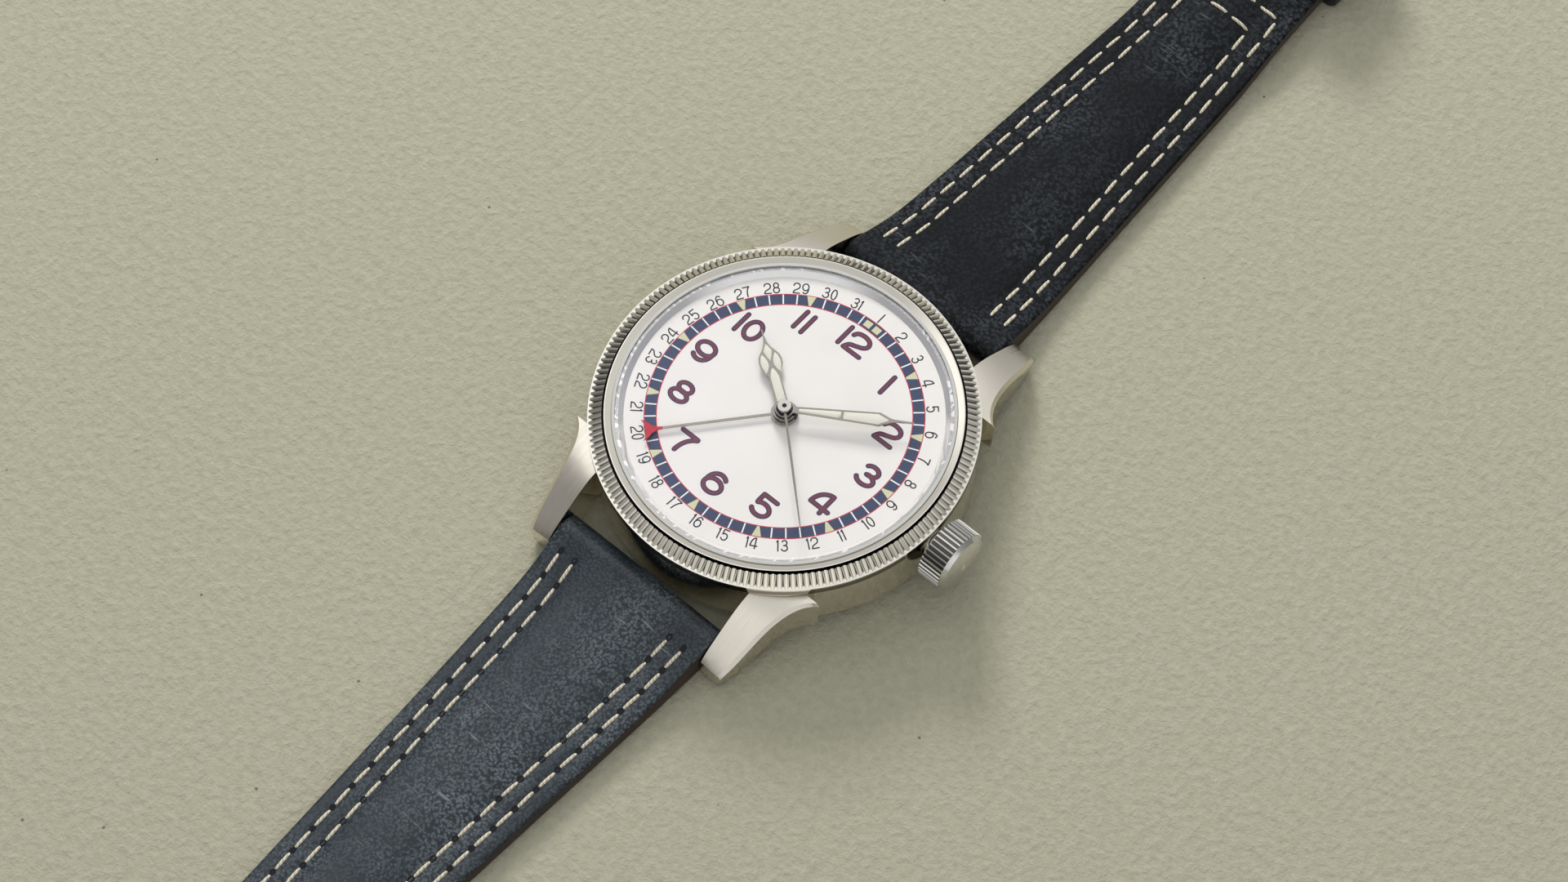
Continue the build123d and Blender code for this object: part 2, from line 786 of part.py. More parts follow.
def mainplate():
    body = disc(movement_r, plate_low, plate_top)
    body = body + ring(movement_r, movement_r - rim_wall, bridge_top, plate_low)
    body = body - disc(cannon_out_r + run_fit, plate_low - over, plate_top + over)
    body = body - disc(arbor_r + run_fit, plate_low - over, plate_low + plate_thick / 2, barrel_at)
    for at in plate_jewels():
        body = body - disc(jewel_r, plate_low - over, plate_low + jewel_h, at)
        body = body - disc(pivot_r + run_fit / 2, plate_low, plate_low + plate_thick / 2, at)
    slot_end = winding_at + winding_l + 3 * slide_fit
    half = winding_r + 3 * slide_fit
    slot_start = clutch_at - clutch_l / 2 - 3 * slide_fit
    body = body - block(slot_start, slot_end, -half, half, plate_low - over, plate_top - plate_thick / 4)
    boss_end = stem_end + crown_travel + stem_boss / 2
    boss_low = stem_height - stem_boss
    body = body + block(stem_end - stem_boss / 2, boss_end, -stem_boss, stem_boss, boss_low, plate_low)
    body = body - rod(stem_pilot_r + run_fit, stem_end - slide_fit, boss_end + over, (0, stem_height))
    body = body - rod(stem_r + slide_fit, movement_r - rim_wall - over, movement_r + over, (0, stem_height))
    foot_low = dial_low - dial_foot_h - slide_fit
    for angle in dial_foot_angles:
        body = body - disc(dial_foot_r + slide_fit, foot_low, plate_top + over, polar(dial_foot_at, angle))
    body = body + disc(post_r, plate_low - lever_drop, plate_low, lever_at)
    body = body + disc(post_r, plate_top, plate_top + date_level - end_shake, day_at)
    body = body + disc(post_r / 2, plate_top, plate_top + date_level - end_shake, minute_wheel_at)
    pillars = bridge_pillars()
    for at in pillars:
        body = body + disc(screw_head_r, bridge_top, plate_low, at)
    for at in pillars:
        body = body - disc(screw_shank_r, bridge_top - over, bridge_top + screw_shank_h, at)
    return body


def bridge_pillars():
    """Screws inside the rim that also hold the bridges."""
    return [polar(pillar_at, angle) for angle in pillar_angles]


def sector(radius, start, end, low, high):
    """Slice of a disc between two angles."""
    corners = [polar(2 * radius, start + (end - start) * step / 4) for step in range(5)]
    return disc(radius, low, high) & plate([middle] + corners, low, high)


def barrel_bridge():
    body = sector(movement_r, *barrel_bridge_span, bridge_low, bridge_top)
    body = body - disc(train_clear_r, bridge_low - over, bridge_top + over)
    body = body - disc(arbor_r + run_fit, bridge_low - over, bridge_top + over, barrel_at)
    body = body - disc(stem_r + run_fit, bridge_low - over, bridge_top + over, crown_wheel_at)
    for at in barrel_screws():
        body = body - screw_hole(at, bridge_low - over, bridge_thick + 2 * over)
    return body


def barrel_screws():
    return [polar(rim_screw_at, angle) for angle in barrel_screw_angles] + bridge_pillars()[:1]


def train_bridge():
    start = barrel_bridge_span[1] + math.degrees(bridge_split / movement_r)
    body = sector(movement_r, start, train_bridge_end, bridge_low, bridge_top)
    body = body + disc(train_clear_r - bridge_split, bridge_low, bridge_top)
    for at in train_jewels():
        body = body - disc(jewel_r, bridge_top - jewel_h, bridge_top + over, at)
        body = body - disc(pivot_r + run_fit / 2, bridge_top - jewel_h - pivot_h / 2, bridge_top, at)
    for at in bridge_pillars()[1:]:
        body = body - screw_hole(at, bridge_low - over, bridge_thick + 2 * over)
    head_top = rotor_top - rotor_gear_h - 2 * ball_r - end_shake
    body = body + disc(ball_post_r, head_top - post_head_h, bridge_low)
    body = body + disc(post_head_r, head_top - post_head_h, head_top)
    return body + disc(post_r, bridge_low - reverser_h - 2 * end_shake, bridge_low, reverser_at)


def balance_cock():
    body = sector(movement_r, *cock_span, bridge_low, bridge_top)
    body = body - disc(train_clear_r, bridge_low - over, bridge_top + over)
    foot = ring(movement_r, balance_dist + balance_r + end_shake, bridge_low, bridge_top)
    bar = sector(movement_r, escape_angle - cock_arm_half, escape_angle + cock_arm_half, bridge_low, bridge_top)
    cap = disc(cock_eye_r, bridge_low, bridge_top, balance_at)
    body = body & (foot + bar + cap)
    body = body - disc(train_step + balance_r / 2, bridge_low - over, bridge_top + over)
    body = body - disc(jewel_r, bridge_top - jewel_h, bridge_top + over, balance_at)
    body = body - disc(pivot_r + run_fit / 2, bridge_top - jewel_h - pivot_h / 2, bridge_top, balance_at)
    stud = stud_at()
    body = body + disc(stud_w / 2, bridge_top, bridge_top + hairspring_low, stud)
    for at in cock_screws():
        body = body - screw_hole(at, bridge_low - over, bridge_thick + 2 * over)
    return body


def cock_screws():
    return [polar(rim_screw_at, angle) for angle in cock_screw_angles]


def stud_at():
    return add(balance_at, polar(hairspring_r, escape_angle + 180))


def pallet_levels():
    top = plate_low - escape_drop - low_gap - wheel_thick
    return top - pallet_bridge_h, top


def pallet_bridge():
    """Small bridge over the pallet fork, on two pillars."""
    low, high = pallet_levels()
    half = fork_dist * pallet_bridge_share
    bar = block(-jewel_r - spoke_w, jewel_r + spoke_w, -half, half, low, high)
    body = Pos(fork_at[0], fork_at[1], 0) * Rot(0, 0, escape_angle) * bar
    for at in pallet_pillars():
        body = body + disc(jewel_r, low, plate_low, at)
    body = body - disc(jewel_r, high - jewel_h / 2, high + over, fork_at)
    return body - disc(pivot_r + run_fit / 2, low - over, high, fork_at)


def pallet_pillars():
    return [add(fork_at, polar(fork_dist * pallet_pillar_share, escape_angle + side)) for side in (-90, 90)]


def jewels():
    low, high = pallet_levels()
    hole = pivot_r + run_fit / 2
    solids = [ring(jewel_r, hole, plate_low, plate_low + jewel_h, at) for at in plate_jewels()]
    bridge_jewels = train_jewels() + (balance_at,)
    solids += [ring(jewel_r, hole, bridge_top - jewel_h, bridge_top, at) for at in bridge_jewels]
    solids.append(ring(jewel_r, hole, high - jewel_h / 2, high, fork_at))
    return Compound(solids)


def movement_screws():
    """Bridge, cock and clamp screws, all alike."""
    solids = [screw(at, bridge_low, bridge_thick + screw_shank_h) for at in bridge_pillars()]
    solids += [screw(at, bridge_low, bridge_thick) for at in barrel_screws()[:2] + cock_screws()]
    for angle in clamp_angles:
        solids.append(screw(polar(clamp_screw_at, angle), bridge_low - clamp_h, clamp_h + screw_shank_h))
    return Compound(solids)


# Going train


def seconds_wheel():
    """Fourth wheel with its pinion and the long arbor of the seconds hand."""
    low, high = drop(fourth_drop)
    body = gear(fourth_teeth, fourth_pitch, low, high, middle, escape_angle)
    body = crossed(body, fourth_pitch, low, high, middle, few_spokes)
    third_low, third_high = drop(third_drop)
    body = body + gear(seconds_pinion_teeth, seconds_pinion_pitch, third_low - low_gap, low, middle,
                       gap_phase(seconds_pinion_teeth, third_angle))
    body = body + disc(pivot_r, bridge_top - jewel_h, bridge_top + end_shake)
    top = dial_top + seconds_hand_z + cap_h
    return body + disc(seconds_arbor_r, bridge_top + end_shake, top - hand_thick)


def centre_wheel():
    """Centre wheel, its pinion, and the cannon with the teeth that drive the motion works."""
    low, high = drop(centre_drop)
    body = gear(centre_teeth, centre_pitch, low, high, middle, third_angle)
    body = crossed(body, centre_pitch, low, high, middle, more_spokes)
    great_low, great_high = drop(great_drop)
    body = body + gear(centre_pinion_teeth, centre_pinion_pitch, high, great_high + end_shake, middle,
                       gap_phase(centre_pinion_teeth, great_angle))
    tube_top = dial_top + minute_hand_z
    tooth_low = plate_top + works_level - end_shake
    body = body + disc(cannon_out_r, low, tube_top)
    body = body + gear(cannon_teeth, cannon_pitch_r, tooth_low, plate_top + hour_level - low_gap, middle,
                       gap_phase(cannon_teeth, minute_wheel_angle))
    return body - disc(cannon_in_r, low - over, tube_top + over)


def third_wheel():
    low, high = drop(third_drop)
    body = gear(third_teeth, third_pitch, low, high, third_at, third_angle + 180)
    body = crossed(body, third_pitch, low, high, third_at, few_spokes)
    centre_low, centre_high = drop(centre_drop)
    phase = gap_phase(third_pinion_teeth, third_angle + 180)
    pinion = gear(third_pinion_teeth, third_pinion_pitch, centre_low - low_gap, centre_high + low_gap,
                  third_at, phase)
    return body + pinion + arbor(third_at)


def great_wheel():
    low, high = drop(great_drop)
    body = gear(great_teeth, great_pitch, low, high, great_at, great_angle + 180)
    body = crossed(body, great_pitch, low, high, great_at, few_spokes)
    barrel_low_z, barrel_high_z = drop(barrel_teeth_drop)
    to_barrel = math.degrees(math.atan2(barrel_at[1] - great_at[1], barrel_at[0] - great_at[0]))
    pinion = gear(great_pinion_teeth, great_pinion_pitch, barrel_low_z - low_gap, barrel_high_z + low_gap,
                  great_at, gap_phase(great_pinion_teeth, to_barrel))
    return body + pinion + arbor(great_at)


def barrel():
    """Drum with its teeth, open inside for the mainspring."""
    low, high = bridge_top + barrel_low, plate_low - barrel_top_drop
    tooth_low, tooth_high = drop(barrel_teeth_drop)
    drum_r = barrel_pitch - barrel_neck
    to_great = math.degrees(math.atan2(great_at[1] - barrel_at[1], great_at[0] - barrel_at[0]))
    body = gear(barrel_teeth, barrel_pitch, tooth_low, tooth_high, barrel_at, to_great)
    body = body + disc(drum_r, low, high, barrel_at)
    body = body - disc(drum_r - barrel_wall, low + barrel_floor, high - barrel_floor, barrel_at)
    return body - disc(arbor_r + run_fit, low - over, high + over, barrel_at)


def mainspring():
    low, high = bridge_top + barrel_low + barrel_floor, plate_low - barrel_top_drop - barrel_floor
    inner = arbor_core_r + run_fit + mainspring_thick
    outer = barrel_pitch - barrel_neck - barrel_wall - mainspring_thick
    return spiral(inner, outer, mainspring_thick, mainspring_turns, low + low_gap, high - low_gap, barrel_at)


def escape_wheel():
    low, high = drop(escape_drop)
    tip_start, tip_end, foot_end = escape_tooth_angles
    points = []
    for tooth in range(escape_wheel_teeth):
        angle = tooth * 360 / escape_wheel_teeth
        points += [polar(escape_root_r, angle), polar(escape_wheel_r, angle + tip_start)]
        points += [polar(escape_wheel_r, angle + tip_end), polar(escape_root_r, angle + foot_end)]
    wheel = Pos(escape_at[0], escape_at[1], 0) * plate(points, low, high)
    body = crossed(wheel, escape_root_r, low, high, escape_at, few_spokes)
    fourth_low, fourth_high = drop(fourth_drop)
    pinion = gear(escape_pinion_teeth, escape_pinion_pitch, high, fourth_high + low_gap, escape_at,
                  gap_phase(escape_pinion_teeth, escape_angle + 180))
    return body + pinion + arbor(escape_at)


def pallet_fork():
    """Lever with two stones at the escape wheel and a fork at the balance."""
    low, high = drop(escape_drop)
    reach = balance_dist - escape_dist - fork_dist - roller_r / 2
    lever = block(0, reach * fork_stem_share, -spoke_w / 3, spoke_w / 3, low, high) + disc(spoke_w, low, high)
    lever = lever + block(reach * fork_root_share, reach * fork_stem_share, -spoke_w, spoke_w, low, high)
    for side in (-1, 1):
        middle_y = side * spoke_w * fork_side_share
        inner, outer = middle_y - spoke_w / 4, middle_y + spoke_w / 4
        lever = lever + block(reach * fork_horn_share, reach, inner, outer, low, high)
        arm = block(0, fork_dist / 2, -spoke_w / 2, spoke_w / 2, low, high)
        lever = lever + Rot(0, 0, side * pallet_arm_angle) * arm
    body = Pos(fork_at[0], fork_at[1], 0) * Rot(0, 0, escape_angle) * lever
    bridge_side = pallet_levels()[1]
    body = body + disc(shaft_r, bridge_side + end_shake / 2, plate_low - end_shake, fork_at)
    return body + disc(pivot_r, bridge_side - jewel_h / 2, plate_low + pivot_h, fork_at)


def balance_wheel():
    low = bridge_top + balance_low
    high = low + balance_h
    rim = ring(balance_r, balance_r - balance_rim, low, high)
    arm = block(0, balance_r - balance_rim / 2, -spoke_w / 2, spoke_w / 2, low, high)
    for number in range(balance_arms):
        rim = rim + Rot(0, 0, number * 360 / balance_arms) * arm
    rim = rim + disc(collet_r, low, high)
    body = Pos(balance_at[0], balance_at[1], 0) * rim
    fork_low, fork_high = drop(escape_drop)
    body = body + disc(roller_r, fork_high + low_gap, fork_high + low_gap + roller_h, balance_at)
    pin = add(balance_at, polar(roller_r * roller_pin_share, escape_angle + 180))
    body = body + disc(roller_pin_r, fork_low, fork_high + low_gap, pin)
    body = body + disc(staff_r, bridge_top + end_shake, plate_low - end_shake, balance_at)
    return body + disc(pivot_r, bridge_top - pivot_h, plate_low + pivot_h, balance_at)


def hairspring():
    low = bridge_top + hairspring_low
    high = low + hairspring_h
    inner = staff_r + run_fit + hairspring_thick
    body = spiral(inner, hairspring_r, hairspring_thick, hairspring_turns, low, high, balance_at)
    return body + disc(stud_w / 2, low, high, add(balance_at, polar(hairspring_r, 0)))


# Winding and setting


def barrel_arbor_top():
    return bridge_low - ratchet_level - ratchet_h


def ratchet_wheel():
    """Wheel on the barrel arbor, with the arbor that winds the mainspring."""
    low = barrel_arbor_top()
    high = low + ratchet_h
    to_crown = math.degrees(math.atan2(crown_wheel_at[1] - barrel_at[1], crown_wheel_at[0] - barrel_at[0]))
    body = gear(ratchet_teeth, ratchet_pitch, low, high, barrel_at, to_crown)
    body = body + disc(arbor_r, high, plate_low + plate_thick / 3, barrel_at)
    core_low = bridge_top + barrel_low + barrel_floor + end_shake
    core_high = plate_low - barrel_top_drop - barrel_floor - end_shake
    return body + disc(arbor_core_r, core_low, core_high, barrel_at)


def crown_wheel():
    """Contrate wheel under the winding pinion and, outside the bridge, the wheel that turns the ratchet."""
    low = barrel_arbor_top()
    to_barrel = math.degrees(math.atan2(barrel_at[1] - crown_wheel_at[1], barrel_at[0] - crown_wheel_at[0]))
    body = gear(crown_wheel_teeth, crown_wheel_r, low, low + ratchet_h, crown_wheel_at,
                gap_phase(crown_wheel_teeth, to_barrel))
    body = body + disc(stem_r, low, bridge_top + contrate_h / 3, crown_wheel_at)
    top = stem_height - winding_r + slide_fit / 2
    rim = gear(crown_wheel_teeth, crown_wheel_r, bridge_top + end_shake, top, crown_wheel_at,
               gap_phase(crown_wheel_teeth, 0))
    inner = crown_wheel_r - contrate_w
    return body + rim - disc(inner, bridge_top + contrate_h / 2, top + over, crown_wheel_at)


def winding_pinion():
    pinion = gear(winding_teeth, winding_r - 2 * tooth_tip_share * winding_r / winding_teeth, 0, winding_l)
    pinion = pinion - disc(stem_r + run_fit, -over, winding_l + over)
    return Pos(winding_at, 0, stem_height) * Rot(0, 90, 0) * pinion


def square_rod(side, x0, x1):
    return block(x0, x1, -side / 2, side / 2, stem_height - side / 2, stem_height + side / 2)


def sliding_pinion():
    body = gear(winding_teeth, clutch_r - 2 * tooth_tip_share * clutch_r / winding_teeth, 0, clutch_l)
    start, end = clutch_waist_shares
    waist = ring(clutch_r + over, clutch_waist_r, clutch_l * start, clutch_l * end)
    body = Pos(clutch_at, 0, stem_height) * Rot(0, 90, 0) * (body - waist)
    side = stem_square + 2 * run_fit
    return body - square_rod(side, clutch_at - over, clutch_at + clutch_l + over)


def stem():
    """Winding stem: pilot, square for the sliding pinion, groove for the setting lever, thread in the crown."""
    square_end = winding_at + winding_l / 2
    axis = (0, stem_height)
    body = rod(stem_pilot_r, stem_end, clutch_at, axis)
    body = body + square_rod(stem_square, clutch_at - clutch_l / 2, square_end)
    body = body + rod(stem_r, square_end, crown_start + crown_l / 2, axis)
    groove = rod(stem_r + over, lever_groove_at, lever_groove_at + lever_groove_w, axis)
    groove = groove - rod(lever_groove_r, lever_groove_at - over, lever_groove_at + lever_groove_w + over, axis)
    return body - groove


def setting_lever():
    """Lever whose pin rides in the groove of the stem."""
    low = plate_low - lever_drop
    high = low + lever_h
    pin_at = (lever_groove_at + lever_groove_w / 2, 0)
    angle = math.degrees(math.atan2(pin_at[1] - lever_at[1], pin_at[0] - lever_at[0]))
    length = math.dist(pin_at, lever_at)
    arm = block(0, length, -lever_w / 2, lever_w / 2, low, high)
    arm = Pos(lever_at[0], lever_at[1], 0) * Rot(0, 0, angle) * arm
    body = arm + disc(lever_w / 2 + post_r / 2, low, high, lever_at) + disc(lever_w / 2, low, high, pin_at)
    body = body - disc(post_r + run_fit, low - over, high + over, lever_at)
    return body + disc(lever_pin_r, high, stem_height - lever_groove_r - run_fit, pin_at)


def click():
    """Pawl that holds the ratchet wheel."""
    low = barrel_arbor_top()
    high = low + ratchet_h
    tip_r = ratchet_pitch + tooth_tip_share * 2 * ratchet_pitch / ratchet_teeth + run_fit
    tip = add(barrel_at, polar(tip_r + lever_w / 4, click_tip_angle))
    heel = add(barrel_at, polar(tip_r + click_heel_off, click_heel_angle))
    body = disc(lever_w / 4, low, high, tip) + disc(lever_w / 2, low, bridge_low, heel)
    angle = math.degrees(math.atan2(tip[1] - heel[1], tip[0] - heel[0]))
    arm = block(0, math.dist(tip, heel), -lever_w / 4, lever_w / 4, low, high)
    return body + Pos(heel[0], heel[1], 0) * Rot(0, 0, angle) * arm


def knurled(radius, x0, length):
    """Knurled drum along X."""
    points = tooth_points(crown_knurls, radius, radius - knurl_depth, 0)
    return Pos(x0, 0, stem_height) * Rot(0, 90, 0) * plate(points, 0, length)


def crown():
    """Crown with its knurled edge, bevelled face, skirt over the tube and boss for the stem."""
    axis = (0, stem_height)
    face = crown_start + crown_l
    bevel_end = face + crown_bevel
    inner = crown_r - crown_bevel
    foot = Pos(face, 0, stem_height) * Rot(0, 90, 0) * Circle(crown_r - knurl_depth)
    head = Pos(bevel_end, 0, stem_height) * Rot(0, 90, 0) * Circle(inner)
    cap = Pos(bevel_end, 0, stem_height) * Rot(0, 90, 0) * dome(inner, 0, crown_dome)
    body = knurled(crown_r, crown_start, crown_l) + loft([foot, head]) + cap
    bottom = crown_start + crown_l / 2
    body = body - rod(crown_bore_r, crown_start - over, bottom, axis)
    boss = rod(crown_boss_r, bottom - stem_r / 2, bottom, axis)
    return body + (boss - rod(stem_r, crown_start - over, bottom, axis))


def crown_gasket():
    axis = (0, stem_height)
    body = rod(crown_bore_r, crown_seal_at, crown_seal_at + crown_seal_w, axis)
    return body - rod(tube_r + run_fit, crown_seal_at - over, crown_seal_at + crown_seal_w + over, axis)


def crown_tube():
    axis = (0, stem_height)
    collar = flank_r + slide_fit
    body = rod(tube_hole_r, cavity_r + slide_fit, collar, axis) + rod(tube_r, collar, tube_end, axis)
    return body - rod(tube_bore_r, cavity_r - over, tube_end + over, axis)


# Self-winding


def rotor():
    """Half-moon weight on a ball bearing, with the gear that drives the reversing wheel."""
    weight = ring(rotor_out_r, rotor_in_r, rotor_low, rotor_top)
    web = ring(rotor_in_r, rotor_hub_r, rotor_low, rotor_low + rotor_arm_h)
    half = block(-2 * rotor_out_r, 2 * rotor_out_r, -2 * rotor_out_r, 0, 0, 2 * rotor_top)
    body = (weight + web) & half
    window = (rotor_in_r - rotor_hub_r) * rotor_window_share
    for angle in rotor_window_angles:
        at = polar((rotor_in_r + rotor_hub_r) / 2, angle)
        body = body - disc(window, rotor_low - over, rotor_low + rotor_arm_h + over, at)
    gear_low = rotor_top - rotor_gear_h
    hub = ring(rotor_hub_r, ball_race_r, rotor_low, gear_low)
    gear_ring = gear(rotor_gear_teeth, rotor_gear_r, gear_low, rotor_top, middle, reverser_angle)
    gear_ring = gear_ring - disc(ball_race_r, gear_low - over, rotor_top + over)
    return body + hub + gear_ring


def rotor_balls():
    height = rotor_top - rotor_gear_h - ball_r
    at = [polar((ball_race_r + ball_post_r) / 2, ball * 360 / ball_count) for ball in range(ball_count)]
    return Compound([Pos(x, y, height) * Sphere(ball_r) for x, y in at])


def reversing_wheel():
    high = bridge_low - end_shake
    low = rotor_top - rotor_gear_h
    phase = gap_phase(reverser_teeth, reverser_angle + 180)
    body = gear(reverser_teeth, reverser_r, low, high, reverser_at, phase)
    return body - disc(post_r + run_fit, low - over, high + over, reverser_at)


# Motion works and date


def minute_wheel():
    low = plate_top + works_level
    high = low + wheel_thick
    to_middle = minute_wheel_angle + 180
    body = gear(minute_wheel_teeth, minute_wheel_pitch, low, high, minute_wheel_at, to_middle)
    top = plate_top + hour_level + wheel_thick + end_shake
    body = body + gear(minute_pinion_teeth, minute_pinion_pitch, high, top, minute_wheel_at,
                       gap_phase(minute_pinion_teeth, to_middle))
    return body - disc(post_r / 2 + run_fit, low - over, top + over, minute_wheel_at)


def hour_wheel():
    low = plate_top + hour_level
    body = gear(hour_teeth, hour_pitch, low, low + wheel_thick, middle, minute_wheel_angle)
    top = dial_top + hour_hand_z
    body = body + disc(hour_pipe_r, low, top)
    return body - disc(cannon_out_r + run_fit, low - over, top + over)


def day_wheel():
    """Wheel that turns once a day; its finger trips the date wheel."""
    low = plate_top + hour_level
    high = low + wheel_thick
    phase = meshed(day_teeth, day_angle, hour_teeth, minute_wheel_angle)
    body = gear(day_teeth, day_pitch, low, high, day_at, phase)
    body = crossed(body, day_pitch, low, high, day_at, few_spokes)
    finger_top = plate_top + date_level + wheel_thick
    finger = Rot(0, 0, day_angle) * block(0, day_finger_r, -finger_w / 2, finger_w / 2, high, finger_top)
    body = body + Pos(day_at[0], day_at[1], 0) * finger
    return body - disc(post_r + run_fit, low - over, finger_top + over, day_at)


def date_wheel():
    low = plate_top + date_level
    high = low + wheel_thick
    body = gear(date_teeth, date_wheel_r, low, high, middle, gap_phase(date_teeth, day_angle))
    body = crossed(body, date_wheel_r, low, high, middle, more_spokes)
    body = body + disc(date_pipe_r, low, dial_top + date_hand_z)
    return body - disc(hour_pipe_r + run_fit, low - over, dial_top + date_hand_z + over)


def date_jumper():
    """Leaf spring that clicks into the date wheel, on its post."""
    low = plate_top + date_level
    high = low + wheel_thick
    tip_r = date_wheel_r + tooth_tip_share * 2 * date_wheel_r / date_teeth + run_fit
    nose = polar(tip_r + jumper_w, jumper_nose_angle)
    post = polar(tip_r + jumper_post_off, jumper_post_angle)
    angle = math.degrees(math.atan2(nose[1] - post[1], nose[0] - post[0]))
    leaf = block(0, math.dist(nose, post), -jumper_w / 2, jumper_w / 2, low, high)
    leaf = Pos(post[0], post[1], 0) * Rot(0, 0, angle) * leaf
    return leaf + disc(jumper_nose_r, low, high, nose) + disc(jumper_post_r, plate_top, high, post)


# Hands


def on_dial(clock_angle, height, shape):
    """Turn a hand drawn along +X to its place on the dial."""
    return Rot(0, 0, 90 - clock_angle) * Pos(0, 0, dial_top + height) * shape


def flat_hand(points):
    """Both halves of a hand that is alike on both sides."""
    outline = list(points) + [(x, -y) for x, y in reversed(points)]
    return plate(outline, -hand_thick, 0)


def along_hand(shares, length, half):
    """Points of an outline that is written in shares of a hand's length and half width."""
    return [(x * length, y * half) for x, y in shares]


def through(shape):
    """The same outline, deep enough to cut through a hand."""
    return Pos(0, 0, -hand_thick) * extrude(shape.faces().sort_by(Axis.Z)[-1], 3 * hand_thick, both=True)


def seconds_hand():
    half = needle_w / 2
    needle = flat_hand(((0, half), (needle_l * needle_even_share, half), (needle_l, needle_tip_w / 2)))
    cap_top = cap_h - hand_thick
    cap = disc(seconds_cap_r, -hand_thick, cap_top) + disc(cap_pin_r, cap_top, cap_top + cap_pin_h)
    body = needle + cap - disc(seconds_arbor_r, -over, cap_top - hand_thick)
    return on_dial(seconds_hand_at, seconds_hand_z + hand_thick, body)


def minute_hand():
    length = minute_hand_l
    foot_half, half = minute_foot_w / 2, minute_wide / 2
    wide_at = length * minute_wide_share
    neck_start, neck_end = [length * share for share in minute_neck_shares]
    outline = (
        (0, foot_half),
        (wide_at, half),
        (neck_start, hand_rim * 8 / 5),
        (neck_end, hand_rim),
        (length, hand_rim / 2),
    )
    cell_start, cell_end = [length * share for share in minute_cell_shares]
    cell = flat_hand((
        (cell_start, foot_half - hand_rim * 4 / 5),
        (wide_at - hand_rim, half - hand_rim),
        (cell_end, hand_rim / 2),
    ))
    bridge_start, bridge_end = [length * share for share in minute_bridge_shares]
    bridge = block(bridge_start, bridge_end, -half, half, -hand_thick, 0)
    body = flat_hand(outline) - (through(cell) - through(bridge))
    body = body + disc(minute_collet_r, -collet_h, 0) - disc(cannon_out_r, -collet_h - over, -hand_thick)
    body = body - disc(seconds_arbor_r + run_fit, -collet_h - over, over)
    return on_dial(minute_hand_at, minute_hand_z + hand_thick, body)


def hour_hand():
    """Stem and leaf with four open cells: one in the stem, one at the top and one at each side."""
    length = hour_hand_l
    stem_half, leaf_half = hour_stem_w / 2, hour_petal_w / 2
    stem = ((0, stem_half), (length * hour_stem_share, stem_half))
    body = flat_hand(stem + tuple(along_hand(hour_leaf_shares, length, leaf_half)))
    cell_start, cell_wide, cell_narrow, cell_end = [length * share for share in hour_stem_cell_shares]
    stem_cell = flat_hand((
        (cell_start, stem_half - hand_rim),
        (cell_wide, stem_half - hand_rim),
        (cell_narrow, stem_half * 2 / 5),
        (cell_end, hand_rim / 10),
    ))
    top_cell = flat_hand(along_hand(hour_top_cell_shares, length, leaf_half))
    body = body - through(stem_cell) - through(top_cell)
    for side in (-1, 1):
        cell = along_hand(hour_side_cell_shares, length, side * leaf_half)
        body = body - plate(cell, -2 * hand_thick, hand_thick)
    body = body + disc(hour_collet_r, -collet_h, 0) - disc(hour_pipe_r, -collet_h - over, -hand_thick)
    body = body - disc(cannon_out_r + run_fit, -collet_h - over, over)
    return on_dial(hour_hand_at, hour_hand_z + hand_thick, body)


def date_hand():
    """Thin rod that ends in a crescent whose horns frame the date."""
    length = date_hand_l
    rod_half = date_rod_w / 2
    rod_end, swell_end = [length * share for share in date_rod_shares]
    rod_line = [(0, rod_half), (rod_end, rod_half), (swell_end, rod_half * 3 / 2)]
    body = flat_hand(rod_line + along_hand(crescent_shares, length, crescent_span / 2))
    body = body + disc(date_collet_r, -collet_h, 0) - disc(date_pipe_r, -collet_h - over, -hand_thick)
    body = body - disc(hour_pipe_r + run_fit, -collet_h - over, over)
    return on_dial(date_hand_at, date_hand_z + hand_thick, body)


# Strap: each half is drawn along +Y from its spring bar and turned into place


def half_width(along):
    widest = lug_gap / 2 - strap_side_gap
    return max(strap_narrow, widest - strap_taper * max(0, along))


def lift(along, lifted):
    """Height of the underside: the nose stands off the floor, and the keepers lift the short half."""
    nose = bar_height - strap_nose_r
    rest = nose * max(0, 1 - along / (strap_fall / 2)) ** 2
    if lifted:
        share = min(1, max(0, (along - lift_start) / (lift_end - lift_start)))
        rest += keeper_lift * share * share * (3 - 2 * share)
    return rest


def top_height(along, lifted, length):
    """Height of the padded middle."""
    share = min(1, max(0, along / strap_fall))
    flat = strap_thick + (strap_end_thick - strap_thick) * along / length
    bulge = 2 * strap_nose_r - strap_thick
    return lift(along, lifted) + flat + bulge * (1 - share) ** 2


def leather_section(along, lifted, length):
    """Section of the upper leather: flat below, crowned above."""
    half = half_width(along)
    low = lift(along, lifted) + lining_thick
    high = top_height(along, lifted, length)
    edge = max(low + lining_thick / 2, high - edge_drop)
    y = bar_y + along
    base = Polyline((-half, y, edge), (-half, y, low), (half, y, low), (half, y, edge))
    return make_face([base, ThreePointArc((half, y, edge), (0, y, high), (-half, y, edge))])


def strap_leather(lifted, length, stations):
    faces = [leather_section(along, lifted, length) for along in stations]
    body = loft(faces, ruled=True)
    half = lug_gap / 2 - strap_side_gap
    axis = (bar_y, bar_height)
    front = block(-half, half, bar_y - strap_nose_r - over, bar_y + bar_r / 5, 0, 2 * bar_height + over)
    nose = rod(strap_nose_r, -half, half, axis) & front
    return body + nose - rod(bar_r + bar_play, -lug_gap, lug_gap, axis)


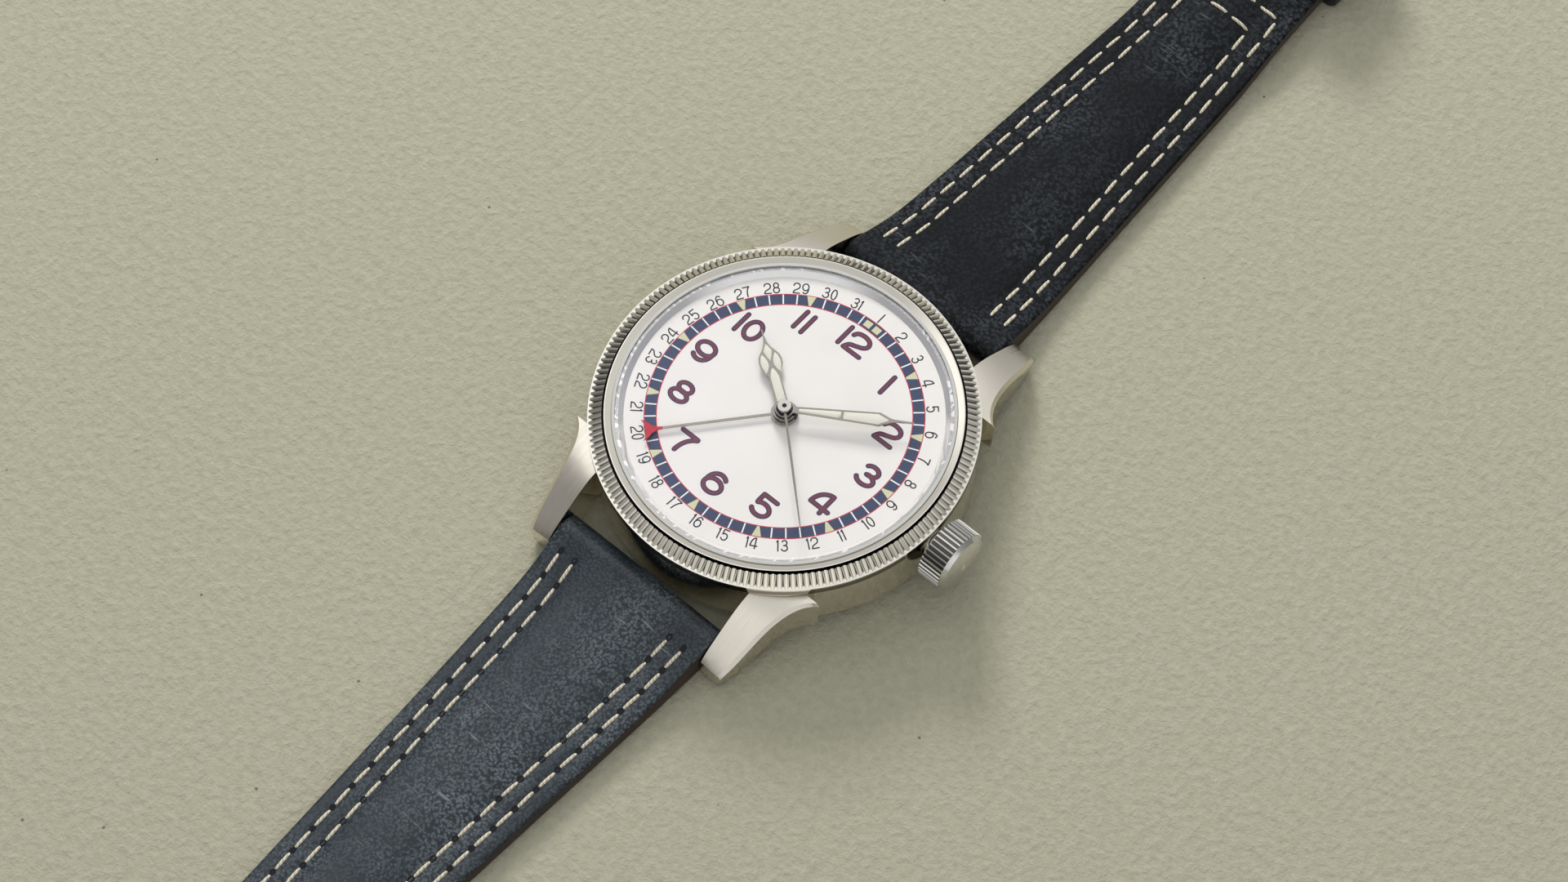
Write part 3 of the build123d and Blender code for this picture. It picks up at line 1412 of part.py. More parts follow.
def strap_lining(lifted, stations):
    """Thin leather under the upper."""
    faces = []
    for along in stations:
        half = half_width(along)
        low = lift(along, lifted)
        y = bar_y + along
        high = low + lining_thick
        corners = ((-half, y, low), (half, y, low), (half, y, high), (-half, y, high))
        faces.append(make_face(Polyline(*corners, close=True)))
    return loft(faces, ruled=True) - rod(strap_nose_r, -lug_gap, lug_gap, (bar_y, bar_height))


def stretch(start, end, steps):
    """Even places between two, without the first."""
    return [start + (end - start) * step / steps for step in range(1, steps + 1)]


def short_stations():
    fall = stretch(0, strap_fall, fall_steps)
    return [0] + fall + [lift_start] + stretch(lift_start, lift_end, lift_steps) + [taper_end, short_strap]


def long_stations():
    return [0] + stretch(0, strap_fall, fall_steps) + [taper_end, long_strap]


def short_cutter():
    """What is cut from the end of the short half: the slot for the tongue."""
    start, end = buckle_bar_y - 3 * strap_loop_r, buckle_bar_y + 2 * strap_loop_r
    return block(-tongue_slot / 2, tongue_slot / 2, start, end, -over, 2 * bar_height + over)


def short_leather():
    body = strap_leather(True, short_strap, short_stations())
    axis = (buckle_bar_y, buckle_bar_z)
    body = body + rod(strap_loop_r, -strap_narrow, strap_narrow, axis)
    return body - short_cutter() - rod(buckle_bar_r + bar_play, -lug_gap, lug_gap, axis)


def short_lining():
    body = strap_lining(True, short_stations()[1:])
    axis = (buckle_bar_y, buckle_bar_z)
    return body - short_cutter() - rod(strap_loop_r, -lug_gap, lug_gap, axis)


def tip_outline():
    """Everything past the pointed end of the long half."""
    end = bar_y + long_strap
    start = end - strap_tip_l
    half = strap_narrow
    side, rise = half * tip_corner_shares[0], start + strap_tip_l * tip_corner_shares[1]
    points = ((half, start), (side, rise), (0, end), (-side, rise), (-half, start))
    curve = Spline(*points, tangents=((0, 1), (0, -1)))
    base = Polyline((-half, start), (-half, bar_y - lug_gap), (half, bar_y - lug_gap), (half, start))
    narrow = extrude(make_face([curve, base]), 2 * bar_height + over, dir=(0, 0, 1))
    return narrow + block(-lug_gap, lug_gap, bar_y - lug_gap, start, 0, 2 * bar_height + over)


def long_half(body):
    """Point, punch and turn the long half to 6 o'clock."""
    body = body & Pos(0, 0, -over / 2) * tip_outline()
    for number in range(hole_count):
        body = body - disc(hole_r, -over, strap_thick + over, (0, bar_y + hole_first + number * hole_pitch))
    return Rot(0, 0, 180) * body


def long_leather():
    return long_half(strap_leather(False, long_strap, long_stations()))


def long_lining():
    return long_half(strap_lining(False, long_stations()[1:]))


def keeper(at, soft_gap):
    """Leather loop round the strap, with room for the other half."""
    half = strap_narrow + soft_gap
    low = lift(at, True)
    top = top_height(at, True, short_strap) + keeper_room
    y = bar_y + at
    body = block(-half - keeper_wall, half + keeper_wall, y, y + keeper_l, 0, top + keeper_wall)
    return body - block(-half, half, y - over, y + keeper_l + over, low - slide_fit, top)


def fixed_keeper():
    return keeper(fixed_keeper_at, 0)


def free_keeper():
    return keeper(free_keeper_at, keeper_side)


def spring_bars():
    """Telescopic bars that hold the strap between the lugs."""
    tip = lug_gap / 2 + bar_tip_l
    half = lug_gap / 2 - bar_play
    solids = []
    for side_y in (-1, 1):
        axis = (side_y * bar_y, bar_height)
        solids.append(rod(bar_r, -half, half, axis) + rod(bar_tip_r, -tip, tip, axis))
    return Compound(solids)


def buckle_bar():
    axis = (buckle_bar_y, buckle_bar_z)
    half = strap_narrow + slide_fit + buckle_arm_w / 2
    return rod(buckle_bar_r, -half, half, axis)


def buckle_frame():
    """Frame with two arms hung on the buckle bar and a cross piece that carries the tongue."""
    inner = strap_narrow + 2 * slide_fit
    outer = inner + buckle_arm_w
    end = buckle_bar_y + buckle_l + buckle_cross
    cross = end - buckle_cross
    axis = (buckle_bar_y, buckle_bar_z)
    outline = (
        (0, buckle_bar_y, buckle_bar_z - ear_r),
        (0, cross, 0),
        (0, end, 0),
        (0, end, buckle_h),
        (0, cross, buckle_h),
        (0, buckle_bar_y, buckle_bar_z + ear_r),
    )
    side = make_face(Polyline(*outline, close=True))
    body = Pos(-outer, 0, 0) * extrude(side, 2 * outer, dir=(1, 0, 0)) + rod(ear_r, -outer, outer, axis)
    body = body - block(-inner, inner, buckle_bar_y - 2 * ear_r, cross, -over, buckle_bar_z + 2 * ear_r)
    return body - rod(buckle_bar_r + run_fit, -lug_gap, lug_gap, axis)


def buckle_tongue():
    """Pin of the buckle, from the bar to the top of the cross piece."""
    cross = buckle_bar_y + buckle_l
    end = cross + buckle_cross
    root = buckle_bar_z + tongue_h * tongue_root_share
    rest = buckle_h + slide_fit
    outline = (
        (0, buckle_bar_y, root),
        (0, buckle_bar_y, root - tongue_h),
        (0, cross, rest),
        (0, end, rest),
        (0, end, rest + tongue_h * tongue_root_share),
        (0, cross, rest + tongue_h),
    )
    side = make_face(Polyline(*outline, close=True))
    body = Pos(-tongue_w / 2, 0, 0) * extrude(side, tongue_w, dir=(1, 0, 0))
    axis = (buckle_bar_y, buckle_bar_z)
    body = body + rod(tongue_eye_r, -tongue_w / 2, tongue_w / 2, axis)
    return body - rod(buckle_bar_r + run_fit, -lug_gap, lug_gap, axis)


PIECES = (
    case_middle, bezel, crystal, crystal_gasket, rehaut, dial, case_back, case_back_glass, case_back_gasket,
    movement_ring, casing_clamps, movement_screws, crown_tube, mainplate, barrel_bridge, train_bridge,
    balance_cock, pallet_bridge, jewels, hairspring, click, date_jumper, spring_bars,
    seconds_hand, seconds_wheel, minute_hand, centre_wheel, hour_hand, hour_wheel, minute_wheel, third_wheel,
    great_wheel, barrel, mainspring, escape_wheel, pallet_fork, balance_wheel, day_wheel, date_hand, date_wheel,
    rotor, rotor_balls, reversing_wheel, winding_pinion, crown, stem, crown_gasket, sliding_pinion, crown_wheel,
    ratchet_wheel, setting_lever, short_leather, short_lining, long_leather, long_lining, fixed_keeper,
    free_keeper, buckle_bar, buckle_frame, buckle_tongue,
)

os.makedirs("parts", exist_ok=True)
for piece in PIECES:
    export_step(piece(), "parts/" + piece.__name__ + ".step")
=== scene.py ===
"""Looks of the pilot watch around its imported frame: finishes, dial print, lume, leather, stitches and light.

Everything is in metres in the frame of the model. Small sizes are written in millimetres times MM.
"""
import bpy
import bmesh
import math
import random
from collections import namedtuple
from mathutils import Matrix, Vector
from mathutils.geometry import delaunay_2d_cdt


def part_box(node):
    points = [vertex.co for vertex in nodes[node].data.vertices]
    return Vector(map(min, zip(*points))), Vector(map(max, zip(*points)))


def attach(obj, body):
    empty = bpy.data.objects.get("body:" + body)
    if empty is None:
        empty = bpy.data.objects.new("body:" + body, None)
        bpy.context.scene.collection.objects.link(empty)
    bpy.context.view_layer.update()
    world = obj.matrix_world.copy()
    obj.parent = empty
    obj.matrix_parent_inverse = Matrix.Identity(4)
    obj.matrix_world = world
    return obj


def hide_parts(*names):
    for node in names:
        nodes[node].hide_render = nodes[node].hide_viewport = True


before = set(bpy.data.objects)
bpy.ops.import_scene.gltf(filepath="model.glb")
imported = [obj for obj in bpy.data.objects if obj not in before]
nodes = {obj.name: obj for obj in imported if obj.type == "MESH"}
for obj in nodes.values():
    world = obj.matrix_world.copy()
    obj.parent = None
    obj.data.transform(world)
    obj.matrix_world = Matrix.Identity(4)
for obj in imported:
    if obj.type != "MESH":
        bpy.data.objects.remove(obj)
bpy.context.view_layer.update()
MM = 0.001

# Camera: direction from the watch, distance, the point looked at and the lens
CAMERA_AZIMUTH = 42.266
CAMERA_ELEVATION = 60.863
CAMERA_ROLL = -0.914
CAMERA_DISTANCE = 381.513 * MM
CAMERA_TARGET = (1.932 * MM, -2.263 * MM, 8.0 * MM)
LENS = 90.0

# Dial print, radii from the middle
TRACK_OUT = 13.687 * MM
TRACK_IN = 12.583 * MM
TRACK_LINE = 0.09 * MM
TICK_W = 0.146 * MM
MARK_W = 0.92 * MM
BLOCK_ANGLES = (0.70, 4.15)
BLOCK_H = 0.74 * MM
NUMERAL_R = 10.48 * MM
NUMERAL_H = 2.22 * MM
NUMERAL_W = 2.14 * MM
NUMERAL_STROKE = 0.29 * MM
NUMERAL_OUTLINE = 0.12 * MM
# How far each hour stands off its place on the circle: outward in millimetres and clockwise in degrees
NUMERAL_SHIFTS = {1: (0.14, 0.6), 2: (-0.05, 0.9), 3: (0.12, -1.2), 4: (0.0, -2.2), 5: (-0.08, 0.0),
                  6: (-0.31, 0.2), 7: (-0.14, 1.1), 8: (-0.09, 3.0), 9: (0.22, 0.8), 10: (-0.13, -0.5),
                  11: (0.20, -0.9), 12: (0.25, -0.8)}
NUMERAL_GAP = 0.74 * MM
ELEVEN_GAP = 0.98 * MM
DATE_R = 14.48 * MM
DATE_H = 1.14 * MM
DATE_W = 0.67 * MM
DATE_GAP = 0.27 * MM
DATE_STROKE = 0.135 * MM
DATE_FLIP = (90, 260)
DAYS = 31
PRINT_H = 0.010 * MM

# Bezel and crown: where the flutes start and end, how deep the painted shade at their bottom lies, the groove
# painted as shade inside them, and how deep the painted shade between the knurls lies
FLUTE_OUT = (19.17 * MM, 7.92 * MM)
FLUTE_IN = (17.78 * MM, 8.70 * MM)
FLUTE_SHADE_DEPTHS = (0.20 * MM, 0.36 * MM)
GROOVE = (17.62 * MM, 17.88 * MM)
GROOVE_TOP = 8.83 * MM
CROWN_R = 3.27 * MM
CROWN_Z = 5.34 * MM
CROWN_FACE = 22.46 * MM
KNURL_SHADE_DEPTHS = (0.08 * MM, 0.15 * MM)

# Hands, as in the model: the time shown, clockwise from 12, and their sizes
HOUR_AT = 304.7
MINUTE_AT = 56.2
HAND_THICK = 0.12 * MM
HAND_RIM = 0.15 * MM
HOUR_L = 9.5 * MM
HOUR_STEM = 0.58 * MM
HOUR_PETAL = 1.18 * MM
HOUR_RECESS_R = 0.98 * MM
MINUTE_L = 12.75 * MM
MINUTE_FOOT = 0.3 * MM
MINUTE_HALF = 0.74 * MM
MINUTE_RECESS_R = 0.83 * MM
MINUTE_GAP = (0.435, 0.455)
CAP_R = 0.67 * MM
HOLE_SHADE_R = 0.23 * MM
MASK_EDGE = 0.01 * MM
DATE_RED_FROM = 12.0 * MM
LUME_RISE = 0.03 * MM
# Outlines of the hour hand's cells: share of its length, and of the half width of its stem or petal
HOUR_UPPER_SHARES = ((0.61, 0.013), (0.67, 0.22), (0.735, 0.36), (0.78, 0.20), (0.82, 0.013))
HOUR_SIDE_SHARES = ((0.455, 0.66), (0.50, 0.40), (0.56, 0.20), (0.62, 0.24), (0.68, 0.42), (0.705, 0.57),
                    (0.67, 0.74), (0.61, 0.86), (0.55, 0.84), (0.50, 0.72))

# Strap
BAR_Y = 21.6 * MM
BAR_Z = 2.7 * MM
NOSE_R = 1.8 * MM
HALF_AT_BAR = 9.8 * MM
HALF_NARROW = 7.0 * MM
SNUG = 0.12 * MM            # wider where it sits between the lugs
SNUG_FOR = 6.0 * MM
TAPER = 0.05
THICK = 2.6 * MM
END_THICK = 2.4 * MM
LINING = 0.8 * MM
LINING_START = 2.5 * MM
COLUMNS = 56
UPPER_STEP = 0.6 * MM
LINING_STEP = 1.2 * MM
FALL = 18.0 * MM
SHORT = 70.0 * MM
LONG = 115.0 * MM
EDGE_DROP = 0.75 * MM
EDGE_ROUND = 0.45 * MM
THINNEST = 0.05 * MM
PAD_RISE = 4.5 * MM
ROW_PRESS = 0.16 * MM
ROW_PRESS_W = 0.42 * MM
LIFT = 1.1 * MM
LIFT_FROM = 40.0 * MM
LIFT_TO = 50.0 * MM
TIP = 9.0 * MM
HOLE_R = 1.0 * MM
HOLE_FIRST = 62.0 * MM
HOLE_PITCH = 7.0 * MM
HOLE_COUNT = 7
TONGUE_SLOT = 2.6 * MM
LOOP_R = 1.25 * MM
LOOP_SOFT = 0.18 * MM
CUT_HEIGHTS = (-5 * MM, 12 * MM)
ROW_OUT = 1.75 * MM
ROW_IN = 3.55 * MM
ROW_START = 2.2 * MM
ROW_END_OUT = 50.3 * MM
ROW_END_IN = 47.3 * MM
STITCH_PITCH = 2.80 * MM
STITCH_L = 2.32 * MM
STITCH_SKEW = 0.05 * MM
STITCH_RINGS = 9
THREAD_R = 0.19 * MM
THREAD_ANGLES = range(0, 360, 45)
PATH_STEP = 0.8 * MM
NEEDLE_HOLE = (0.42 * MM, 0.30 * MM)
NEEDLE_HOLE_ANGLES = range(0, 360, 30)
KEEPER_WALL = 0.9 * MM
KEEPER_CORNER = 1.3 * MM
KEEPER_SOFT = 0.22 * MM

# What tells the two halves of the strap apart; the long one is turned to 6 o'clock and ends in a tip
Half = namedtuple("Half", "name body lifted length lining_end row_end tip_end")
SHORT_HALF = Half("short", "short_strap", True, SHORT, SHORT - LOOP_R, ROW_END_OUT, None)
LONG_HALF = Half("long", "long_strap", False, LONG, LONG, HOLE_FIRST - 8 * MM, LONG)

# Light and floor. A direction in the picture is to the right, away from the camera, and an elevation.
KEY_DIRECTION = (-0.10, 1.0, 29)
KEY_DISTANCE = 0.8
KEY_POWER = 5.1
KEY_SIZE = (0.24, 0.20)
KEY_COLOR = (1.0, 0.985, 0.955)
SKY_LEVELS = ((0.0, 0.10), (0.30, 0.22), (0.60, 0.42), (0.92, 0.86))
# Pale panels: direction, cosines at which they start and are full, and grey level
SKY_PANELS = (((0.25, 1.0, 22), 0.35, 0.95, 0.55), ((0.0, -1.0, 30), 0.60, 0.95, 0.75),
              ((-0.75, 1.0, 56), 0.93, 0.985, 1.1))
SKY_STRENGTH = 0.76
FLOOR_HALF = 2.0
FLOOR_BELOW = 0.03 * MM


def rgb(red, green, blue):
    """Colour as a screen shows it, 0 to 255, as the renderer's linear values."""
    def one(value):
        share = value / 255
        return share / 12.92 if share <= 0.04045 else ((share + 0.055) / 1.055) ** 2.4
    return (one(red), one(green), one(blue), 1.0)


# Finishes


class Graph:
    """Node tree of a material or of the sky."""

    def __init__(self, tree):
        self.tree = tree

    def node(self, kind, **values):
        """New node with its settings, and values or links for its inputs."""
        made = self.tree.nodes.new("ShaderNode" + kind)
        for name, value in values.items():
            if hasattr(made, name):
                setattr(made, name, value)
            else:
                self.feed([value], [made.inputs[name]])
        return made

    def link(self, out, into):
        self.tree.links.new(out, into)

    def feed(self, values, slots):
        """Link each value to its slot, or set it there."""
        for value, slot in zip(values, slots):
            if isinstance(value, bpy.types.NodeSocket):
                self.link(value, slot)
            else:
                slot.default_value = value

    def ranged(self, value, low, high, to_low=0.0, to_high=1.0, kind="LINEAR"):
        made = self.node("MapRange", clamp=True, interpolation_type=kind)
        self.feed((value, low, high, to_low, to_high), made.inputs)
        return made.outputs[0]


class Finish(Graph):
    """A node material: a Principled shader and what varies it."""

    def __init__(self, name, color, metallic=0.0, roughness=0.5, **values):
        self.mat = bpy.data.materials.new(name)
        self.mat.use_nodes = True
        super().__init__(self.mat.node_tree)
        self.shader = self.tree.nodes["Principled BSDF"]
        values.update({"Base Color": color, "Metallic": metallic, "Roughness": roughness})
        for socket, value in values.items():
            self.shader.inputs[socket.replace("_", " ")].default_value = value
        self.coords = self.node("TexCoord").outputs["Object"]
        self.relief = None

    def noise(self, size, detail=2.0, scale=(1, 1, 1), roughness=0.5):
        """Noise whose features are about this size, along axes scaled by a vector."""
        place = self.node("Mapping", Scale=scale, Vector=self.coords).outputs["Vector"]
        made = self.node("TexNoise", Scale=1 / size, Detail=detail, Roughness=roughness, Vector=place)
        return made.outputs["Fac"]

    def cells(self, size, feature="SMOOTH_F1"):
        made = self.node("TexVoronoi", feature=feature, Scale=1 / size, Vector=self.coords)
        return made.outputs["Distance"]

    def math(self, operation, first, second=0.5, clamp=False):
        made = self.node("Math", operation=operation, use_clamp=clamp)
        self.feed((first, second), made.inputs)
        return made.outputs[0]

    def times(self, first, second, clamp=False):
        return self.math("MULTIPLY", first, second, clamp)

    def blend(self, factor, first, second):
        """Mix of two colours or sockets."""
        made = self.node("Mix", data_type="RGBA")
        self.feed((factor, first, second), (made.inputs["Factor"], made.inputs[6], made.inputs[7]))
        return made.outputs[2]

    def mottled(self, value, first, second, low=0.3, high=0.7):
        """Mix of two colours by how high a noise stands."""
        return self.blend(self.ranged(value, low, high), first, second)

    def color(self, socket):
        self.link(socket, self.shader.inputs["Base Color"])

    def rough(self, socket, low, high):
        self.link(self.ranged(socket, 0.3, 0.7, low, high), self.shader.inputs["Roughness"])

    def bump(self, height, distance, strength=1.0):
        """Add relief on top of what is there."""
        made = self.node("Bump", Distance=distance, Strength=strength, Height=height)
        if self.relief is not None:
            self.link(self.relief, made.inputs["Normal"])
        self.relief = made.outputs["Normal"]
        self.link(self.relief, self.shader.inputs["Normal"])

    def position(self):
        """X, Y and Z of the point in the frame of the model."""
        return self.node("SeparateXYZ", Vector=self.coords).outputs

    def radius(self):
        x, y, _ = self.position()
        return self.math("SQRT", self.math("ADD", self.times(x, x), self.times(y, y)))

    def inside(self, radius):
        """One inside a radius, none outside it."""
        return self.ranged(self.radius(), radius + MASK_EDGE, radius - MASK_EDGE)


STEEL = rgb(222, 221, 218)
GLASS_FACING = 0.045        # share that plain glass reflects face on


def polished(name, color=STEEL, roughness=0.10):
    made = Finish(name, color, 1.0, roughness)
    made.rough(made.noise(3 * MM, 3), roughness * 0.8, roughness * 1.3)
    made.bump(made.noise(0.6 * MM), 0.0006 * MM, 0.5)
    return made


def brushed(name, grain, color=STEEL, roughness=0.30):
    """Fine parallel lines; grain stretches them."""
    made = Finish(name, color, 1.0, roughness)
    lines = made.noise(1.2 * MM, 2, grain, 0.6)
    made.rough(lines, roughness * 0.85, roughness * 1.2)
    made.bump(lines, 0.0012 * MM)
    return made


def bezel_finish():
    """Polished steel, with painted shade at the bottom of the flutes and in the groove inside them."""
    color = rgb(224, 220, 209)
    made = polished("polished_bezel", color, 0.14)
    radius = made.radius()
    z = made.position()[2]
    slope = (FLUTE_OUT[0] - FLUTE_IN[0]) / (FLUTE_IN[1] - FLUTE_OUT[1])
    ridge = made.math("SUBTRACT", FLUTE_OUT[0] + slope * FLUTE_OUT[1], made.times(z, slope))
    outside = made.math("GREATER_THAN", radius, GROOVE[0])
    # painted shade: the flutes darken the deeper a point lies under the cone of their ridges
    painted_shade = made.times(made.ranged(made.math("SUBTRACT", ridge, radius), *FLUTE_SHADE_DEPTHS), outside)
    # painted shade: the groove inside the flutes is painted near black below its top
    ring = made.times(outside, made.math("LESS_THAN", radius, GROOVE[1]))
    ring = made.times(ring, made.math("LESS_THAN", z, GROOVE_TOP))
    flutes_with_shade = made.blend(painted_shade, color, rgb(132, 127, 116))
    made.color(made.blend(ring, flutes_with_shade, rgb(22, 21, 20)))
    return made


def crown_finish():
    """Polished steel, with painted shade between the knurls."""
    made = polished("polished_crown", roughness=0.14)
    x, y, z = made.position()
    up = made.math("SUBTRACT", z, CROWN_Z)
    square = made.math("ADD", made.times(y, y), made.times(up, up))
    depth = made.math("SUBTRACT", CROWN_R, made.math("SQRT", square))
    side = made.math("LESS_THAN", x, CROWN_FACE)
    # painted shade: darker the deeper a point lies between the knurls, on the side only
    painted_shade = made.times(made.ranged(depth, *KNURL_SHADE_DEPTHS), side)
    made.color(made.blend(painted_shade, STEEL, rgb(104, 101, 94)))
    return made


def hand_finish(name, recess_r):
    """Polished hand with painted shade in the recess round the middle."""
    color = rgb(158, 155, 146)
    made = polished(name, color, 0.16)
    # painted shade inside the recess radius
    made.color(made.blend(made.inside(recess_r), color, rgb(58, 56, 53)))
    return made


def needle_finish():
    """Grey needle with a bright cap and painted shade in the small hole at its middle."""
    grey = rgb(140, 136, 124)
    made = polished("needle_steel", grey, 0.2)
    capped = made.blend(made.inside(CAP_R), grey, rgb(204, 201, 194))
    # painted shade: the small hole in the middle of the cap is painted near black
    made.color(made.blend(made.inside(HOLE_SHADE_R), capped, rgb(44, 42, 40)))
    return made


def rehaut_finish():
    """Bright ring that both mirrors and scatters."""
    made = polished("polished_rehaut", rgb(244, 243, 240), 0.08)
    made.shader.inputs["Metallic"].default_value = 0.6
    return made


def case_finish():
    """Polished flank and chamfers, brushed tops on the lugs."""
    made = Finish("case_steel", rgb(232, 226, 213), 1.0, 0.12)
    normal = made.node("SeparateXYZ", Vector=made.node("NewGeometry").outputs["Normal"])
    top = made.ranged(normal.outputs[2], 0.55, 0.75)
    lines = made.noise(1.2 * MM, 2, (14, 0.3, 0.3), 0.6)
    rough = made.ranged(lines, 0.3, 0.7, 0.26, 0.38)
    plain = made.ranged(made.noise(4 * MM), 0.3, 0.7, 0.05, 0.09)
    mix = made.node("Mix", data_type="FLOAT")
    made.feed((top, plain, rough), (mix.inputs["Factor"], mix.inputs[2], mix.inputs[3]))
    made.link(mix.outputs[0], made.shader.inputs["Roughness"])
    made.bump(made.times(lines, top), 0.0014 * MM)
    return made


def striped(name, color, pitch, turn):
    """Ground stripes across a nickelled plate."""
    made = Finish(name, color, 1.0, 0.25)
    mapping = made.node("Mapping", Rotation=(0, 0, math.radians(turn)), Vector=made.coords)
    wave = made.node("TexWave", wave_profile="SAW", Scale=1 / pitch / 3.2, Distortion=0.0,
                     Vector=mapping.outputs["Vector"])
    made.rough(made.noise(0.5 * MM, 3, (1, 8, 1)), 0.2, 0.36)
    made.bump(wave.outputs["Fac"], 0.02 * MM, 0.6)
    return made


def circular(name, color, roughness):
    """Fine turned lines round the middle."""
    made = Finish(name, color, 1.0, roughness)
    rings = made.math("SINE", made.times(made.radius(), 2 * math.pi / (0.12 * MM)))
    made.bump(rings, 0.0012 * MM)
    made.rough(made.noise(1.5 * MM, 3), roughness * 0.8, roughness * 1.3)
    return made


def enamel(name, color, roughness=0.4, grain=0.002):
    """Lacquer or printing ink."""
    made = Finish(name, color, 0.0, roughness)
    speck = made.noise(0.25 * MM, 2)
    pale = tuple(min(1, c * 1.06) for c in color[:3]) + (1,)
    made.color(made.mottled(speck, color, pale, 0.35, 0.65))
    made.bump(speck, grain * MM)
    return made


def dial_finish():
    made = Finish("dial_lacquer", rgb(234, 231, 227), 0.0, 0.42)
    made.color(made.mottled(made.noise(6 * MM), rgb(236, 233, 229), rgb(232, 229, 225)))
    made.bump(made.noise(0.12 * MM, 2), 0.0015 * MM)
    return made


def lume_finish(name, color):
    made = Finish(name, color, 0.0, 0.65)
    grains = made.noise(0.09 * MM, 3)
    dark = tuple(c * 0.86 for c in color[:3]) + (1,)
    made.color(made.mottled(grains, dark, color))
    made.bump(grains, 0.01 * MM)
    return made


def clear_finish(name, tint, strength):
    """Thin clear look: what is behind shows, and the surface reflects by its angle."""
    made = Finish(name, (1, 1, 1, 1), 0.0, 0.02)
    tree = made.tree
    tree.nodes.remove(made.shader)
    through = made.node("BsdfTransparent")
    gloss = made.node("BsdfGlossy", Roughness=0.015, Color=tint)
    slope = made.math("POWER", made.node("LayerWeight").outputs["Facing"], 5.0)
    share = made.math("ADD", made.times(slope, 1 - GLASS_FACING), GLASS_FACING)
    share = made.times(share, strength, clamp=True)
    mix = made.node("MixShader")
    made.feed((share, through.outputs[0], gloss.outputs[0]), mix.inputs)
    out = [n for n in tree.nodes if n.type == "OUTPUT_MATERIAL"][0]
    made.link(mix.outputs[0], out.inputs["Surface"])
    return made


def jewel_finish():
    made = Finish("ruby", rgb(150, 12, 48), 0.0, 0.06, Coat_Weight=1.0, Coat_Roughness=0.03)
    made.color(made.mottled(made.noise(0.4 * MM), rgb(120, 6, 36), rgb(176, 20, 62)))
    return made


def grained(name, color, roughness, size, depth, detail=2, **values):
    """Plain colour with a fine relief."""
    made = Finish(name, color, 0.0, roughness, **values)
    made.bump(made.noise(size, detail), depth)
    return made


def date_hand_finish():
    """Steel rod whose end is red lacquer."""
    grey = rgb(156, 151, 140)
    made = Finish("date_hand", grey, 1.0, 0.2)
    red = made.ranged(made.radius(), DATE_RED_FROM - 0.02 * MM, DATE_RED_FROM + 0.02 * MM)
    lacquer = made.mottled(made.noise(0.3 * MM), rgb(176, 34, 48), rgb(198, 46, 58))
    made.color(made.blend(red, grey, lacquer))
    made.link(made.math("SUBTRACT", 1.0, red), made.shader.inputs["Metallic"])
    made.link(made.ranged(red, 0, 1, 0.16, 0.38), made.shader.inputs["Roughness"])
    return made


def leather_finish(name, dark, light, worn, grain=0.27, relief=0.026, gloss=0.5):
    """Fine grained leather: dark in the creases, paler on the worn tops, with thin folds across the strap."""
    made = Finish(name, dark, 0.0, 0.45, Specular_IOR_Level=gloss)
    pebble = made.cells(grain * MM)
    fine = made.noise(0.13 * MM, 3)
    broad = made.noise(9 * MM, 3, (1, 0.7, 1))
    fold = made.noise(1.1 * MM, 3, (0.35, 1.3, 1), 0.6)
    tops = made.times(made.ranged(pebble, 0.56, 0.20), made.ranged(fine, 0.30, 0.60))
    patches = made.noise(4.5 * MM, 3, (1, 0.6, 1))
    tops = made.times(tops, made.ranged(patches, 0.36, 0.62, 0.45, 1.0))
    body = made.blend(tops, dark, light)
    rubbed = made.times(tops, made.ranged(broad, 0.42, 0.66))
    line = made.ranged(made.noise(0.7 * MM, 2, (0.16, 1.6, 1)), 0.66, 0.72)
    rubbed = made.math("MAXIMUM", rubbed, made.times(line, made.ranged(broad, 0.46, 0.58)))
    made.color(made.blend(made.times(rubbed, 0.6), body, worn))
    shine = made.math("ADD", made.times(fine, 0.6), made.times(broad, 0.4))
    made.rough(shine, 0.26, 0.48)
    made.bump(made.times(pebble, -1.0), 1.7 * relief * MM, 0.9)
    made.bump(fold, 0.03 * MM, 0.5)
    made.bump(fine, 0.010 * MM, 0.6)
    return made


def thread_finish():
    """Twisted linen thread."""
    made = Finish("stitch_thread", rgb(222, 213, 192), 0.0, 0.7, Sheen_Weight=0.2)
    twist = made.node("TexWave", Scale=1 / (0.85 * MM), Distortion=0.4, bands_direction="DIAGONAL",
                      Vector=made.coords)
    made.color(made.blend(twist.outputs["Fac"], rgb(186, 176, 150), rgb(228, 220, 200)))
    made.bump(twist.outputs["Fac"], 0.05 * MM, 0.7)
    return made


def paint(obj, finish, *others):
    """Give an object its finish, and further ones in further slots."""
    obj.data.materials.clear()
    for made in (finish,) + others:
        obj.data.materials.append(made.mat)


def dress(finish, *names):
    for name in names:
        paint(nodes[name], finish)


